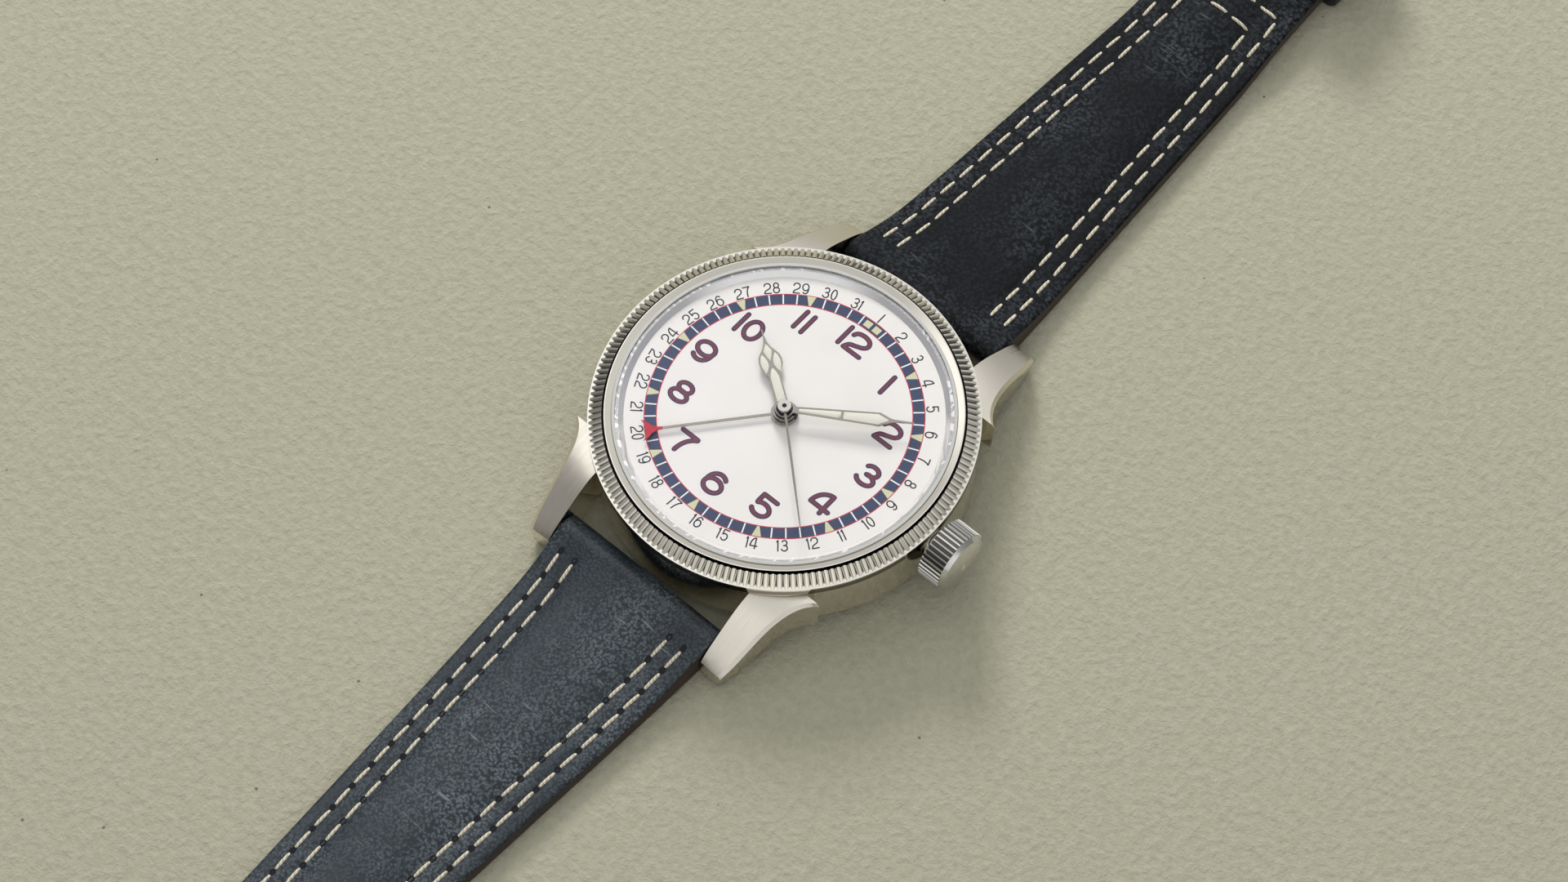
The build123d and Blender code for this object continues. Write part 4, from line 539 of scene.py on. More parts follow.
def dress_case():
    dress(case_finish(), "case_middle")
    dress(bezel_finish(), "bezel")
    dress(rehaut_finish(), "rehaut")
    dress(crown_finish(), "crown")
    dress(polished("polished_tube", roughness=0.14), "crown_tube")
    dress(clear_finish("sapphire", (0.62, 0.66, 1.0, 1.0), 0.22), "crystal")
    dress(clear_finish("mineral_glass", (1, 1, 1, 1), 1.0), "case_back_glass")
    nylon = grained("seal_nylon", rgb(196, 197, 192), 0.4, 0.3 * MM, 0.002 * MM, Subsurface_Weight=0.2,
                    Subsurface_Scale=0.3 * MM)
    dress(nylon, "crystal_gasket")
    rubber = grained("seal_rubber", rgb(22, 22, 23), 0.75, 0.1 * MM, 0.004 * MM, 3)
    dress(rubber, "case_back_gasket", "crown_gasket")
    dress(circular("turned_back", STEEL, 0.22), "case_back")
    dress(dial_finish(), "dial")
    dress(brushed("bar_steel", (1, 6, 6), roughness=0.2), "spring_bars", "buckle_bar")
    dress(brushed("buckle_steel", (0.4, 6, 6), roughness=0.26), "buckle_frame", "buckle_tongue")


def dress_hands():
    dress(hand_finish("hour_steel", HOUR_RECESS_R), "hour_hand")
    dress(hand_finish("minute_steel", MINUTE_RECESS_R), "minute_hand")
    dress(needle_finish(), "seconds_hand")
    dress(date_hand_finish(), "date_hand")


def dress_movement():
    nickel = rgb(206, 203, 196)
    brass = rgb(214, 178, 98)
    spring = rgb(120, 124, 134)
    bridges = striped("striped_bridges", nickel, 2.2 * MM, 32)
    dress(bridges, "barrel_bridge", "train_bridge", "balance_cock")
    dress(circular("turned_plate", nickel, 0.3), "mainplate", "movement_ring")
    dress(brushed("small_plate", (5, 1, 1), nickel), "pallet_bridge", "casing_clamps")
    dress(circular("wheel_brass", brass, 0.24), "seconds_wheel", "centre_wheel", "third_wheel",
          "great_wheel", "barrel", "hour_wheel", "minute_wheel", "day_wheel", "date_wheel")
    dress(brushed("balance_gold", (4, 4, 1), rgb(222, 186, 120), 0.2), "balance_wheel")
    dress(circular("winding_steel", rgb(200, 200, 202), 0.2), "ratchet_wheel", "crown_wheel",
          "reversing_wheel", "winding_pinion", "sliding_pinion", "escape_wheel", "pallet_fork")
    dress(brushed("spring_steel", (4, 4, 1), spring, 0.3), "mainspring", "hairspring", "click",
          "date_jumper", "setting_lever", "stem")
    dress(polished("screw_steel", rgb(70, 92, 150), 0.15), "movement_screws")
    dress(polished("ball_steel", roughness=0.06), "rotor_balls")
    dress(striped("rotor_steel", rgb(196, 193, 186), 2.6 * MM, 90), "rotor")
    dress(jewel_finish(), "jewels")


# Mesh helpers


def bare_object(name, verts, faces):
    """Mesh object with no finish and no body."""
    mesh = bpy.data.meshes.new(name)
    mesh.from_pydata([tuple(v) for v in verts], [], faces)
    made = bpy.data.objects.new(name, mesh)
    bpy.context.scene.collection.objects.link(made)
    return made


def new_object(name, verts, faces, body, slot, finish, *others):
    made = bare_object(name, verts, faces)
    made.data.validate()
    made.data.update()
    paint(made, finish, *others)
    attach(made, body)
    return made


def outward(obj):
    """Turn every face of a closed mesh to the outside."""
    work = bmesh.new()
    work.from_mesh(obj.data)
    bmesh.ops.recalc_face_normals(work, faces=work.faces)
    work.to_mesh(obj.data)
    work.free()


def smooth(obj, angle=40):
    obj.data.shade_smooth()
    obj.data.set_sharp_from_angle(angle=math.radians(angle))


def spread(start, end, count):
    """Even values from start to end."""
    return [start + (end - start) * i / count for i in range(count + 1)]


def steps_between(start, end, size):
    return spread(start, end, max(1, round((end - start) / size)))


def arc(cx, cy, rx, ry, angles):
    """Points on an ellipse at angles in degrees."""
    turns = [math.radians(a) for a in angles]
    return [(cx + rx * math.cos(turn), cy + ry * math.sin(turn)) for turn in turns]


def dial_point(radius, clock, extra=0.0):
    """X and Y on the dial, an angle clockwise from 12; extra is sideways, clockwise."""
    c, s = math.cos(math.radians(clock)), math.sin(math.radians(clock))
    return (radius * s + extra * c, radius * c - extra * s)


def printed(name, polygons, low, high, finish):
    """Flat solid over the union of convex polygons, between two heights over the dial in print layers."""
    points, faces = [], []
    for polygon in polygons:
        faces.append(list(range(len(points), len(points) + len(polygon))))
        points += [Vector(p) for p in polygon]
    flat, _, triangles, _, _, origin = delaunay_2d_cdt(points, [], faces, 0, 1e-8)
    kept = [tri for tri, source in zip(triangles, origin) if source]
    sides = [side for tri in kept for side in zip(tri, tri[1:] + tri[:1])]
    inner = set(sides)
    border = [(a, b) for a, b in sides if (b, a) not in inner]
    used = sorted({v for tri in kept for v in tri})
    index = {v: i for i, v in enumerate(used)}
    count = len(used)
    verts = [(flat[v].x, flat[v].y, dial_top + layers * PRINT_H) for layers in (high, low) for v in used]
    mesh_faces = [[index[v] for v in tri] for tri in kept]
    mesh_faces += [[index[v] + count for v in reversed(tri)] for tri in kept]
    mesh_faces += [[index[a], index[a] + count, index[b] + count, index[b]] for a, b in border]
    new_object(name, verts, mesh_faces, "case", "dial_white", finish)


def circle_points(center, radius, count=14):
    return arc(*center, radius, radius, [360 * i / count for i in range(count)])


def stroke_polygons(line, width):
    """Convex polygons that cover a stroke with round ends along a line."""
    parts = [circle_points(p, width / 2) for p in line]
    for a, b in zip(line, line[1:]):
        dx, dy = b[0] - a[0], b[1] - a[1]
        length = math.hypot(dx, dy)
        nx, ny = -dy / length * width / 2, dx / length * width / 2
        parts.append([(a[0] - nx, a[1] - ny), (b[0] - nx, b[1] - ny),
                      (b[0] + nx, b[1] + ny), (a[0] + nx, a[1] + ny)])
    return parts


def ring_polygons(outer, inner, start=0.0, end=360.0, step=3.0):
    """Quads along an arc of a ring, angles clockwise from 12."""
    angles = steps_between(start, end, step)
    return [[dial_point(inner, a), dial_point(inner, b), dial_point(outer, b), dial_point(outer, a)]
            for a, b in zip(angles, angles[1:])]


# Numerals: strokes in a box one high and one wide round the middle of the foot


def bow(cx, cy, rx, ry, start, end, steps=16):
    return arc(cx, cy, rx, ry, spread(start, end, steps))


def curved(points, steps=6):
    """Smooth line through points."""
    padded = (points[0],) + tuple(points) + (points[-1],)
    line = []
    for a, b, c, d in zip(padded, padded[1:], padded[2:], padded[3:]):
        for i in range(steps):
            t = i / steps
            line.append(tuple(b[k] + 0.5 * t * (c[k] - a[k] + t * (2 * a[k] - 5 * b[k] + 4 * c[k] - d[k]
                              + t * (3 * (b[k] - c[k]) + d[k] - a[k]))) for k in (0, 1)))
    return line + [points[-1]]


# Centre lines of each digit; the one with a nose is for dates above 9
CURVE_OF_TWO = ((-0.48, 0.75), (-0.35, 0.93), (-0.02, 1.0), (0.32, 0.92), (0.45, 0.70), (0.32, 0.50),
                (0.0, 0.366), (-0.325, 0.244), (-0.47, 0.0))
DIGITS = {
    "0": [bow(0, 0.5, 0.38, 0.5, 90, 450, 32)],
    "1": [[(0, 1), (0, 0)]],
    "2": [curved(CURVE_OF_TWO) + [(0.48, 0)]],
    "3": [bow(0, 0.755, 0.36, 0.245, 152, -90, 16) + [(-0.10, 0.51)], bow(0, 0.27, 0.44, 0.27, 90, -158, 18)],
    "4": [[(0.22, 0), (0.22, 0.5)] + bow(0.22, 0.24, 0.72, 0.76, 90, 180, 10) + [(0.5, 0.24)]],
    "5": [[(0.40, 1), (-0.36, 1), (-0.36, 0.58)] + bow(0, 0.32, 0.44, 0.32, 140, -150, 20)],
    "6": [bow(0.02, 0.52, 0.46, 0.48, 48, 180, 12) + bow(0, 0.34, 0.46, 0.34, 160, 520, 30)],
    "7": [[(-0.46, 1), (0.44, 1)] + bow(0.72, 0, 0.80, 1.02, 110, 180, 8)],
    "8": [bow(0, 0.755, 0.36, 0.245, -90, 270, 24), bow(0, 0.27, 0.44, 0.27, 90, 450, 26)],
}
DIGITS["9"] = [[(-x, 1 - y) for x, y in DIGITS["6"][0]]]
FLAGGED_ONE = [[(-0.16, 0.86), (0, 1), (0, 0)]]
DIGIT_WIDTH = dict(zip("0123456789", (0.76, 0.0, 0.91, 0.88, 1.0, 0.88, 0.92, 0.9, 0.88, 0.92)))
FLAG_WIDTH = 0.16


def numeral_lines(text, width, height, gap, flag):
    """Centre lines of a number whose middle is the origin."""
    widths = [max(DIGIT_WIDTH[d], FLAG_WIDTH if flag else 0.0) * width for d in text]
    total = sum(widths) + gap * (len(text) - 1)
    left = -total / 2
    lines = []
    for digit, wide in zip(text, widths):
        middle = left + wide / 2
        for stroke in FLAGGED_ONE if flag and digit == "1" else DIGITS[digit]:
            lines.append([(middle + x * width, (y - 0.5) * height) for x, y in stroke])
        left += wide + gap
    return lines


def placed(lines, center, turn):
    """Lines turned by an angle, counter-clockwise in degrees, and moved."""
    c, s = math.cos(math.radians(turn)), math.sin(math.radians(turn))
    return [[(center[0] + x * c - y * s, center[1] + x * s + y * c) for x, y in line] for line in lines]


def hour_numerals():
    """Upright hours: dark outline below, maroon fill above."""
    fill, edge = [], []
    for hour in range(1, 13):
        gap = ELEVEN_GAP if hour == 11 else NUMERAL_GAP
        lines = numeral_lines(str(hour), NUMERAL_W, NUMERAL_H, gap, False)
        outward_by, clockwise_by = NUMERAL_SHIFTS[hour]
        center = dial_point(NUMERAL_R + outward_by * MM, hour * 30 + clockwise_by)
        for line in placed(lines, center, 0):
            fill += stroke_polygons(line, NUMERAL_STROKE)
            edge += stroke_polygons(line, NUMERAL_STROKE + 2 * NUMERAL_OUTLINE)
    outline_ink = enamel("outline_ink", rgb(44, 40, 78))
    printed("hour_outlines", edge, -1, 1, outline_ink)
    printed("hour_numerals", fill, 0, 1.8, enamel("maroon_ink", rgb(110, 52, 64)))


def date_numerals():
    """Dates that read from the middle, turned over in the lower half."""
    polygons = []
    for day in range(1, DAYS + 1):
        clock = (day - 1) * 360 / DAYS
        turn = -clock
        if DATE_FLIP[0] < clock < DATE_FLIP[1]:
            turn += 180
        lines = numeral_lines(str(day), DATE_W, DATE_H, DATE_GAP, day > 9)
        for line in placed(lines, dial_point(DATE_R, clock), turn):
            polygons += stroke_polygons(line, DATE_STROKE)
    date_ink = enamel("date_ink", rgb(26, 28, 36))
    printed("date_numerals", polygons, -1, 1, date_ink)


def mark_outline(clock, inner, outer):
    """Mark across the track with its half widths at the inner and the outer border."""
    return [dial_point(TRACK_IN, clock, -inner), dial_point(TRACK_IN, clock, inner),
            dial_point(TRACK_OUT, clock, outer), dial_point(TRACK_OUT, clock, -outer)]


def minute_track():
    """Dark band with red borders, white minute lines and pale five minute marks."""
    band = ring_polygons(TRACK_OUT, TRACK_IN)
    printed("track_band", band, -1, 1, enamel("navy_ink", rgb(52, 64, 92)))
    lines = ring_polygons(TRACK_OUT + TRACK_LINE, TRACK_OUT) + ring_polygons(TRACK_IN, TRACK_IN - TRACK_LINE)
    printed("track_borders", lines, -1, 1.2, enamel("red_ink", rgb(196, 44, 62)))
    ticks, marks = [], []
    middle = (TRACK_IN + TRACK_OUT) / 2
    for minute in range(1, 60):
        clock = minute * 6
        if minute % 5:
            ticks.append(mark_outline(clock, TICK_W / 2, TICK_W / 2))
        else:
            marks.append(mark_outline(clock, 0.12 * MARK_W, MARK_W / 2))
    for side in (-1, 1):
        start, end = sorted(side * angle for angle in BLOCK_ANGLES)
        marks += ring_polygons(middle + BLOCK_H / 2, middle - BLOCK_H / 2, start, end, 1.0)
    printed("minute_lines", ticks, 0, 1.5, enamel("white_ink", rgb(232, 232, 230)))
    mark_lume = lume_finish("mark_lume", rgb(216, 214, 178))
    printed("five_minute_marks", marks, 0, 2, mark_lume)


# Lume in the hands


def mirrored(*shares):
    """Outline from one side of it."""
    return shares + tuple((x, -y) for x, y in reversed(shares))


def hand_cell(name, shares, length, half, clock, top, body):
    """Filled cell of a hand, from its outline as shares of the hand's length and half width."""
    turned = [dial_point(x * length, clock, y * half) for x, y in shares]
    count = len(turned)
    low, high = top - HAND_THICK * 0.8, top - HAND_THICK * 0.25
    cx, cy = (sum(p[i] for p in turned) / count for i in (0, 1))
    verts = [(x, y, low) for x, y in turned] + [(x, y, high) for x, y in turned]
    verts += [(cx + (x - cx) * 0.86, cy + (y - cy) * 0.86, high + LUME_RISE) for x, y in turned]
    verts.append((cx, cy, high + 1.4 * LUME_RISE))
    faces = [list(range(count))[::-1]]
    for i in range(count):
        j = (i + 1) % count
        faces.append([i, j, j + count, i + count])
        faces.append([i + count, j + count, j + 2 * count, i + 2 * count])
        faces.append([i + 2 * count, j + 2 * count, 3 * count])
    made = new_object(name, verts, faces, body, "hand_steel", hand_lume)
    outward(made)
    smooth(made, 60)


def fill_hour_hand():
    """Four cells between the hand's ribs."""
    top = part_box("hour_hand")[1].z
    inner = (HOUR_STEM - HAND_RIM) / HOUR_STEM
    lower = mirrored((0.12, inner), (0.42, inner), (0.49, 0.42), (0.53, 0.03))
    middle = mirrored(*HOUR_UPPER_SHARES)
    left = [(x, -y) for x, y in HOUR_SIDE_SHARES]
    for name, shares, half in (("lower", lower, HOUR_STEM), ("upper", middle, HOUR_PETAL),
                               ("left", left, HOUR_PETAL), ("right", HOUR_SIDE_SHARES, HOUR_PETAL)):
        hand_cell("hour_lume_" + name, shares, HOUR_L, half, HOUR_AT, top, "hours")


def fill_minute_hand():
    """Two cells, one below and one above the hand's cross rib."""
    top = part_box("minute_hand")[1].z
    start = (MINUTE_FOOT - 0.8 * HAND_RIM) / MINUTE_HALF
    widest = (MINUTE_HALF - HAND_RIM) / MINUTE_HALF
    reach = 0.735 - HAND_RIM / MINUTE_L

    def edge(x):
        return start + (widest - start) * (x - 0.11) / (reach - 0.11)

    low, high = MINUTE_GAP
    lower = mirrored((0.11, start), (low, edge(low)))
    upper = mirrored((high, edge(high)), (reach, widest), (0.84 * 0.955, HAND_RIM / 2 / MINUTE_HALF))
    for name, shares in (("lower", lower), ("upper", upper)):
        hand_cell("minute_lume_" + name, shares, MINUTE_L, MINUTE_HALF, MINUTE_AT, top, "minutes")


# Strap: each half is worked out along its length from its bar


def ease(low, high, value):
    share = min(1.0, max(0.0, (value - low) / (high - low)))
    return share * share * (3 - 2 * share)


def laid(strap, side, along, z):
    """Point of a half in the frame of the model."""
    turn = 1 if strap.lifted else -1
    return (turn * side, turn * (BAR_Y + along), z)


def half_width(along, tip_end=None):
    half = max(HALF_NARROW, HALF_AT_BAR - TAPER * max(0.0, along))
    half += SNUG * (1 - ease(0, SNUG_FOR, along))
    if tip_end is not None and along > tip_end - TIP:
        share = min(1.0, (along - tip_end + TIP) / TIP)
        half *= math.sqrt(max(0.0, 1 - share * share))
    return half


def lift(strap, along):
    """Height of the underside: from the bar down to the floor, and up again where the buckle lifts it."""
    rest = (BAR_Z - NOSE_R) * max(0.0, 1 - along / (FALL / 2)) ** 2
    return rest + LIFT * ease(LIFT_FROM, LIFT_TO, along) if strap.lifted else rest


def crown_height(strap, along):
    share = min(1.0, max(0.0, along / FALL))
    flat = THICK + (END_THICK - THICK) * along / strap.length
    return lift(strap, along) + flat + (2 * NOSE_R - THICK) * (1 - share) ** 2


def padding(strap, side, half, along):
    """How far the top lies under its crown, a side distance from the middle: padded inside the rows."""
    inset = half - abs(side)
    fade = 1 - ease(strap.row_end - 2 * MM, strap.row_end + 3 * MM, along)
    margin = EDGE_DROP * (0.80 - 0.55 * ease(ROW_IN - 0.8 * MM, ROW_IN + 3.2 * MM, inset))
    pad = margin * (1 - ease(ROW_IN, ROW_IN + PAD_RISE, inset))
    pad += EDGE_DROP * 0.35 * (1 - ease(0, ROW_OUT * 1.4, inset))
    plain = EDGE_DROP * (abs(side) / max(half, MM)) ** 2.6
    drop = pad * fade + plain * (1 - fade)
    for row in (ROW_OUT, ROW_IN):
        near = math.exp(-((inset - row) / ROW_PRESS_W) ** 2)
        drop += ROW_PRESS * near * fade * ease(ROW_START - 1.2 * MM, ROW_START, along)
    return drop * (0.42 + 0.58 * ease(-1 * MM, 7 * MM, along))


def strap_section(strap, along):
    """Ring of points across the upper leather: top from one side to the other, then the underside back."""
    half = max(half_width(along, strap.tip_end), THINNEST)
    if along < 0:
        reach = math.sqrt(NOSE_R ** 2 - along ** 2)
        low, high = BAR_Z - reach, BAR_Z + reach
        soft = reach / NOSE_R
    else:
        low = lift(strap, along) + LINING * ease(0, LINING_START, along)
        high = crown_height(strap, along)
        soft = 1.0
    round_r = min(EDGE_ROUND, half * 0.3, (high - low) * 0.3)
    points = []
    for i in range(COLUMNS + 1):
        # the sine sets more columns near the sides, where the rows are
        side = half * math.sin((-1 + 2 * i / COLUMNS) * math.pi / 2)
        drop = padding(strap, side, half, along) * soft
        inset = half - abs(side)
        if inset < round_r:
            drop += round_r - math.sqrt(max(0.0, round_r ** 2 - (round_r - inset) ** 2))
        points.append((side, max(high - drop, low + THINNEST)))
    points += [(share * half, low) for share in (1, 0.5, 0, -0.5, -1)]
    return [laid(strap, side, along, z) for side, z in points]


def lining_section(strap, along):
    half = max(half_width(along, strap.tip_end), THINNEST)
    low = lift(strap, along)
    high = low + LINING * ease(0, LINING_START, along) - 0.01 * MM
    soft = min(0.2 * MM, half * 0.4)
    points = ((-half, high), (half, high), (half, low + soft), (half - soft, low), (0, low),
              (soft - half, low), (-half, low + soft))
    return [laid(strap, side, along, z) for side, z in points]


def loft_rings(rings, loop=False):
    """Mesh through rings of equal length: capped at both ends, or closed into a loop."""
    count = len(rings[0])
    verts = [p for ring in rings for p in ring]
    faces = []
    for r in range(len(rings) if loop else len(rings) - 1):
        a, b = r * count, (r + 1) % len(rings) * count
        for i in range(count):
            j = (i + 1) % count
            faces.append([a + i, a + j, b + j, b + i])
    if not loop:
        faces += [list(range(count))[::-1], list(range(len(verts) - count, len(verts)))]
    return verts, faces


def joined(meshes):
    """Several meshes as one list of points and one of faces."""
    verts, faces = [], []
    for points, polygons in meshes:
        faces += [[len(verts) + v for v in polygon] for polygon in polygons]
        verts += points
    return verts, faces


def opening(outline):
    """Upright shape over an outline, through both leathers."""
    return loft_rings([[(x, y, z) for x, y in outline] for z in CUT_HEIGHTS])


def stations(strap, start, end, step):
    """Even steps along a half, and ever smaller ones round a tip."""
    if strap.tip_end is None:
        return steps_between(start, end, step)
    tip = [end - TIP + TIP * math.sin(math.radians(a)) for a in range(4, 90, 4)]
    return steps_between(start, end - TIP, step) + tip


def cut(obj, verts, faces):
    """Take a closed shape out of a mesh for good."""
    cutter = bare_object("cutter", verts, faces)
    modifier = obj.modifiers.new("cut", "BOOLEAN")
    modifier.object = cutter
    modifier.operation = "DIFFERENCE"
    modifier.solver = "EXACT"
    bpy.context.view_layer.update()
    result = bpy.data.meshes.new_from_object(obj.evaluated_get(bpy.context.evaluated_depsgraph_get()))
    obj.modifiers.clear()
    obj.data = result
    bpy.data.objects.remove(cutter)


def paint_edges(obj):
    """Give the upright side walls past the bar the finish in the second slot."""
    for polygon in obj.data.polygons:
        flat = math.hypot(polygon.normal.x, polygon.normal.y)
        beside = abs(polygon.center.x) > 0.4 * HALF_NARROW and abs(polygon.center.y) > BAR_Y
        if flat > 0.9 and beside:
            polygon.material_index = 1


def layer(strap, kind, node, slot, rings, leather):
    """One leather of a half, in the place of its solid."""
    made = new_object(strap.name + kind, *loft_rings(rings), strap.body, slot, leather, edge_paint)
    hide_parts(strap.name + node)
    return made


def upper(strap, leather):
    places = [-NOSE_R * math.cos(math.radians(a)) for a in range(0, 90, 10)]
    places += stations(strap, 0, strap.length, UPPER_STEP)
    if strap.tip_end is not None:
        places.append(strap.tip_end - 0.002 * MM)
    rings = [strap_section(strap, along) for along in places]
    return layer(strap, "_upper", "_leather", "upper_leather", rings, leather)


def lining(strap):
    places = stations(strap, LINING_STEP, strap.lining_end, LINING_STEP)
    rings = [lining_section(strap, along) for along in places]
    return layer(strap, "_back", "_lining", "lining_leather", rings, brown_leather)


def straps():
    """Both halves: padded upper and flat lining, with the tongue's slot and the punched holes."""
    side = TONGUE_SLOT / 2
    low, high = BAR_Y + SHORT - 3 * LOOP_R, BAR_Y + SHORT + 3 * LOOP_R
    slot = opening([(-side, low), (side, low), (side, high), (-side, high)])
    centers = [(0.0, -(BAR_Y + HOLE_FIRST + i * HOLE_PITCH)) for i in range(HOLE_COUNT)]
    holes = joined([opening(circle_points(center, HOLE_R, 32)) for center in centers])
    for strap, leather, taken in ((SHORT_HALF, blue_leather, slot), (LONG_HALF, paler_lit_leather, holes)):
        top = upper(strap, leather)
        for made in (top, lining(strap)):
            cut(made, *taken)
            outward(made)
            paint_edges(made)
            smooth(made, 50)


def strap_loop():
    """The fold of leather round the buckle's bar, in two lugs beside the tongue."""
    inner, outer = TONGUE_SLOT / 2, HALF_NARROW
    for name, side in (("strap_loop_left", -1), ("strap_loop_right", 1)):
        rings = []
        for x in steps_between(inner, outer, 0.5 * MM):
            radius = LOOP_R - (LOOP_SOFT if x in (inner, outer) else 0)
            ring = arc(BAR_Y + SHORT, LIFT + LOOP_R, radius, radius, range(0, 360, 15))
            rings.append([(side * x, y, z) for y, z in ring])
        made = new_object(name, *loft_rings(rings), "short_strap", "upper_leather", blue_leather)
        outward(made)
        smooth(made, 40)


# Stitches


def row_path(strap, inset):
    """Line of a row, as points of side and along: down one side, round or across the end, and back."""
    if strap.tip_end is None:
        row_end = ROW_END_OUT if inset == ROW_OUT else ROW_END_IN
        side = [(half_width(a) - inset, a) for a in steps_between(ROW_START, row_end, PATH_STEP)]
        return side + [(-x, a) for x, a in reversed(side)]
    bend = strap.tip_end - inset - TIP
    wide = HALF_NARROW - inset
    side = [(half_width(a) - inset, a) for a in steps_between(ROW_START, bend, PATH_STEP)]
    side += arc(0, bend, wide, TIP, range(4, 91, 3))
    return side + [(-x, a) for x, a in reversed(side[:-1])]


def along_path(path, distance):
    """Point and direction at a distance along a path."""
    gone = 0.0
    for a, b in zip(path, path[1:]):
        step = math.dist(a, b)
        if gone + step >= distance:
            break
        gone += step
    share = (distance - gone) / step
    point = (a[0] + (b[0] - a[0]) * share, a[1] + (b[1] - a[1]) * share)
    return point, ((b[0] - a[0]) / step, (b[1] - a[1]) / step)


def leather_top(strap, side, along):
    """Height of the upper leather at a place."""
    return crown_height(strap, along) - padding(strap, side, half_width(along, strap.tip_end), along)


def stitch(strap, path, start, skew):
    """Tube of thread that dips into the leather at both ends, as points and faces."""
    rings = []
    for r in range(STITCH_RINGS):
        share = r / (STITCH_RINGS - 1)
        (side, along), (tx, ty) = along_path(path, start + STITCH_L * share)
        arch = math.sin(math.pi * share)
        thick = THREAD_R * (0.62 + 0.38 * arch ** 0.4)
        z = leather_top(strap, side, along) + THREAD_R * (0.75 * arch ** 0.5 - 0.62)
        ring = arc(skew * (2 * share - 1), z, thick, 0.9 * thick, THREAD_ANGLES)
        rings.append([laid(strap, side + ty * wide, along - tx * wide, height) for wide, height in ring])
    return loft_rings(rings)


def needle_hole(strap, path, distance):
    """Dark patch of painted shade on the leather where the thread goes into its hole, as points and faces."""
    (side, along), (tx, ty) = along_path(path, distance)
    points = []
    for a, b in arc(0, 0, *NEEDLE_HOLE, NEEDLE_HOLE_ANGLES):
        x, y = side + tx * a + ty * b, along + ty * a - tx * b
        points.append(laid(strap, x, y, leather_top(strap, x, y) + 0.035 * MM))
    points.append(laid(strap, side, along, leather_top(strap, side, along) + 0.01 * MM))
    count = len(NEEDLE_HOLE_ANGLES)
    return points, [[k, (k + 1) % count, count] for k in range(count)]


def stitches():
    """Two rows round each half, and patches of painted shade for the needle holes between the stitches."""
    chance = random.Random(12)
    for strap in (SHORT_HALF, LONG_HALF):
        threads, holes = [], []
        for inset in (ROW_OUT, ROW_IN):
            path = row_path(strap, inset)
            total = sum(math.dist(a, b) for a, b in zip(path, path[1:]))
            count = int(total / STITCH_PITCH)
            pitch = total / count
            for number in range(count):
                start = (number + 0.5) * pitch - STITCH_L / 2
                threads.append(stitch(strap, path, start, chance.uniform(-STITCH_SKEW, STITCH_SKEW)))
            for number in range(count + 1):
                distance = max(0.02 * MM, min(number * pitch, total - 0.02 * MM))
                holes.append(needle_hole(strap, path, distance))
        thread = new_object(strap.name + "_stitches", *joined(threads), strap.body, "upper_leather", linen)
        outward(thread)
        smooth(thread, 60)
        dark = new_object(strap.name + "_needle_holes", *joined(holes), strap.body, "upper_leather",
                          hole_shade_ink)
        smooth(dark, 60)


# Keepers


def keeper(name, body, node):
    """Soft loop of leather with rounded corners, in the place of its solid."""
    low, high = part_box(node)
    length = high.y - low.y
    wall, soft = KEEPER_WALL, KEEPER_SOFT
    rim = [(0.0, wall / 2), (0.0, soft), (soft * 0.3, soft * 0.3), (soft, 0.0)]
    profile = rim + [(length / 2, 0.0)] + [(length - y, shrink) for y, shrink in reversed(rim)]
    profile += [(length, wall), (length / 2, wall), (0.0, wall)]
    rings = []
    for y, shrink in profile:
        corner = max(KEEPER_CORNER - shrink, 0.35 * MM)
        x = (high.x - low.x) / 2 - shrink - corner
        top, bottom = high.z - shrink - corner, low.z + shrink + corner
        ring = []
        for cx, cz, start in ((x, top, 0), (-x, top, 90), (-x, bottom, 180), (x, bottom, 270)):
            corners = arc(cx, cz, corner, corner, range(start, start + 91, 10))
            ring += [(px, low.y + y, pz) for px, pz in corners]
        rings.append(ring)
    made = new_object(name, *loft_rings(rings, loop=True), body, "upper_leather", keeper_leather)
    outward(made)
    smooth(made, 50)
    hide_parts(node)


# Stage


def camera():
    back = picture_direction(0, -1, CAMERA_ELEVATION)
    right = picture_direction(1, 0, 0)
    up = back.cross(right)
    roll = math.radians(CAMERA_ROLL)
    across = right * math.cos(roll) + up * math.sin(roll)
    upward = up * math.cos(roll) - right * math.sin(roll)
    data = bpy.data.cameras.new("camera")
    data.lens = LENS
    data.sensor_width = 36.0
    data.clip_start = 0.01
    made = bpy.data.objects.new("camera", data)
    bpy.context.scene.collection.objects.link(made)
    turn = Matrix((across, upward, back)).transposed().to_4x4()
    made.matrix_world = Matrix.Translation(Vector(CAMERA_TARGET) + back * CAMERA_DISTANCE) @ turn
    bpy.context.scene.camera = made


def floor():
    corners = [(x * FLOOR_HALF, y * FLOOR_HALF, 0) for x, y in ((-1, -1), (1, -1), (1, 1), (-1, 1))]
    made = bare_object("floor", corners, [(0, 1, 2, 3)])
    made.location.z = -FLOOR_BELOW
    paper = Finish("floor_paper", rgb(178, 176, 155), 0.0, 0.9)
    grain = paper.noise(0.95 * MM, 4, (1, 1, 1), 0.66)
    ground = paper.mottled(grain, rgb(164, 162, 141), rgb(178, 176, 155))
    # painted shade: small dark specks stand for the shade in tiny pits of the floor
    speck = paper.ranged(paper.cells(7 * MM, "F1"), 0.026, 0.018)
    paper.color(paper.blend(paper.times(speck, 0.85), ground, rgb(96, 94, 80)))
    paper.bump(grain, 0.30 * MM, 1.0)
    paint(made, paper)


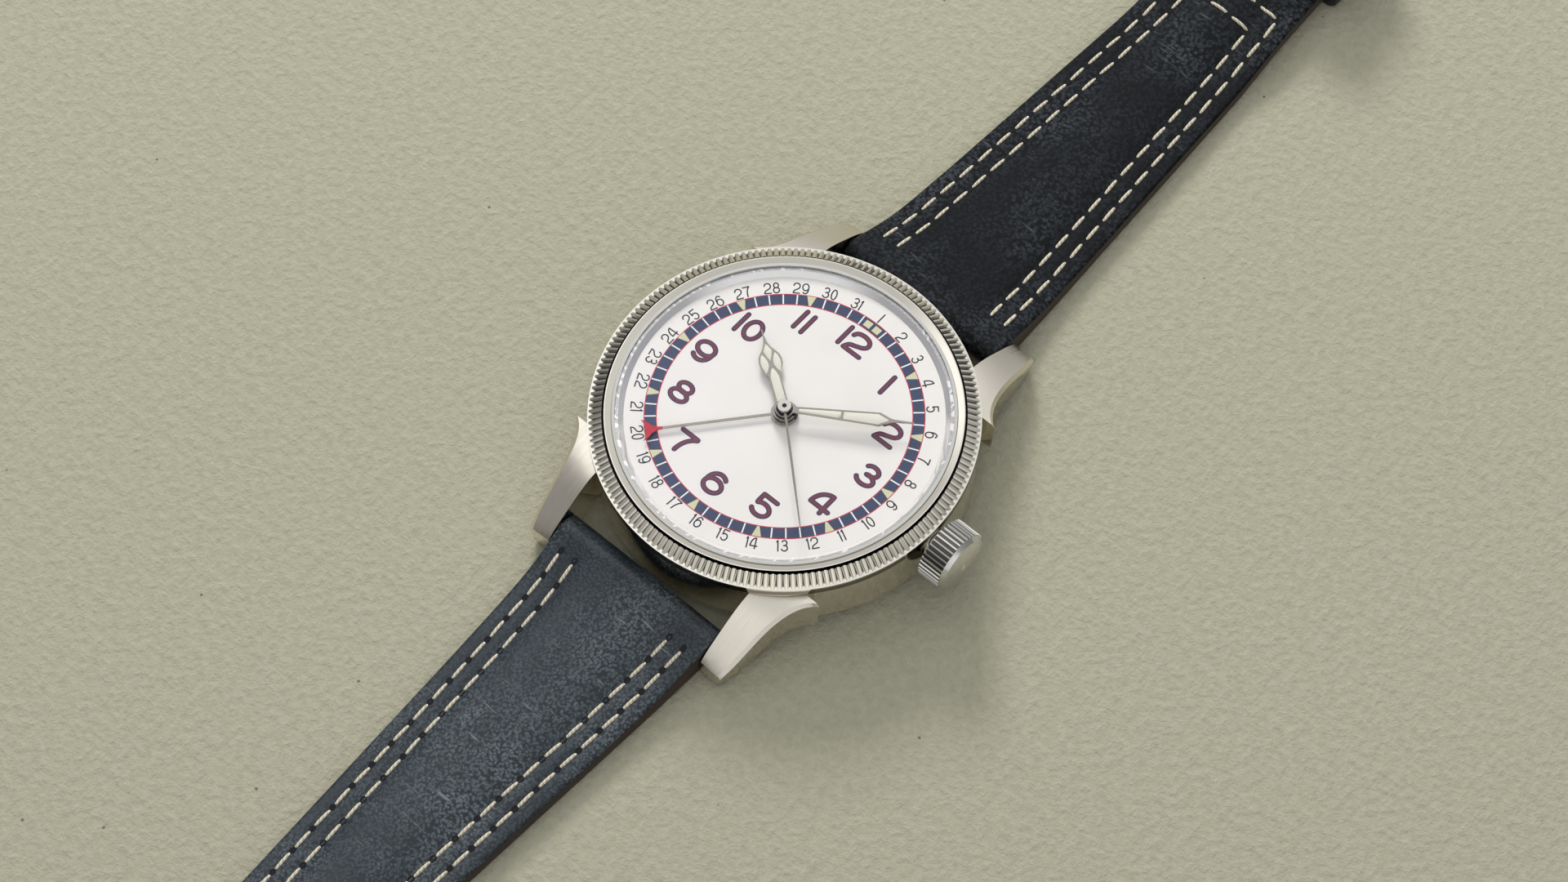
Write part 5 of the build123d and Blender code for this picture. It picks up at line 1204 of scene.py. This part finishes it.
def picture_direction(across, away, elevation):
    """Unit vector from the watch, from its shares to the right and away in the picture and its elevation."""
    azimuth = math.radians(CAMERA_AZIMUTH) - math.atan2(across, away)
    flat = math.cos(math.radians(elevation))
    return Vector((-math.sin(azimuth) * flat, math.cos(azimuth) * flat, math.sin(math.radians(elevation))))


def key_lamp():
    """Soft lamp behind the watch that shows in no reflection."""
    direction = picture_direction(*KEY_DIRECTION)
    data = bpy.data.lights.new("key", "AREA")
    data.energy = KEY_POWER
    data.shape = "RECTANGLE"
    data.size, data.size_y = KEY_SIZE
    data.color = KEY_COLOR
    made = bpy.data.objects.new("key", data)
    made.location = direction * KEY_DISTANCE
    made.rotation_euler = direction.to_track_quat("Z", "Y").to_euler()
    made.visible_glossy = False
    bpy.context.scene.collection.objects.link(made)


def pale_sky():
    """Sky that is paler the higher it is, with pale panels that the metal mirrors."""
    world = bpy.data.worlds.new("sky")
    bpy.context.scene.world = world
    world.use_nodes = True
    graph = Graph(world.node_tree)
    coords = graph.node("TexCoord").outputs["Generated"]
    height = graph.node("SeparateXYZ", Vector=coords)
    ramp = graph.node("ValToRGB")
    while len(ramp.color_ramp.elements) < len(SKY_LEVELS):
        ramp.color_ramp.elements.new(0.5)
    for element, (position, grey) in zip(ramp.color_ramp.elements, SKY_LEVELS):
        element.position = position
        element.color = (grey, grey, grey, 1)
    graph.link(height.outputs[2], ramp.inputs[0])
    light = ramp.outputs[0]
    for direction, start, end, grey in SKY_PANELS:
        towards = graph.node("VectorMath", operation="DOT_PRODUCT")
        graph.feed((coords, picture_direction(*direction)), towards.inputs)
        pale = graph.ranged(towards.outputs["Value"], start, end, 0.0, grey, "SMOOTHSTEP")
        total = graph.node("VectorMath")
        graph.feed((light, pale), total.inputs)
        light = total.outputs[0]
    graph.feed((light, SKY_STRENGTH), graph.tree.nodes["Background"].inputs)
    bpy.context.scene.view_settings.view_transform = "Standard"


hand_lume = lume_finish("hand_lume", rgb(230, 229, 214))
# One leather for both halves, in two copies: the long half's is painted paler and the short half's darker, for
# how the light falls on each
blue_leather = leather_finish("blue_leather", rgb(2, 4, 7), rgb(30, 36, 46), rgb(92, 99, 106),
                              0.36, 0.03, 0.22)
paler_lit_leather = leather_finish("blue_leather_painted_paler", rgb(22, 32, 40), rgb(60, 73, 82),
                              rgb(132, 141, 146))
keeper_leather = leather_finish("keeper_leather", rgb(10, 14, 22), rgb(26, 34, 46), rgb(60, 68, 78),
                                0.24, 0.02)
brown_leather = leather_finish("brown_leather", rgb(98, 66, 48), rgb(122, 84, 60),
                               rgb(150, 112, 84), 0.3, 0.02)
edge_paint = enamel("edge_paint", rgb(44, 26, 24), 0.45, 0.01)
# painted shade that stands for the inside of the needle holes
hole_shade_ink = enamel("needle_hole", rgb(14, 15, 19), 0.8)
linen = thread_finish()

camera()
floor()
key_lamp()
pale_sky()
dress_case()
dress_hands()
dress_movement()
dial_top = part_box("case_middle")[1].z
minute_track()
hour_numerals()
date_numerals()
fill_hour_hand()
fill_minute_hand()
straps()
strap_loop()
stitches()
keeper("keeper_fixed", "short_strap", "fixed_keeper")
keeper("keeper_free", "loose_keeper", "free_keeper")


def plain(bounds):
    return [list(corner) for corner in bounds]
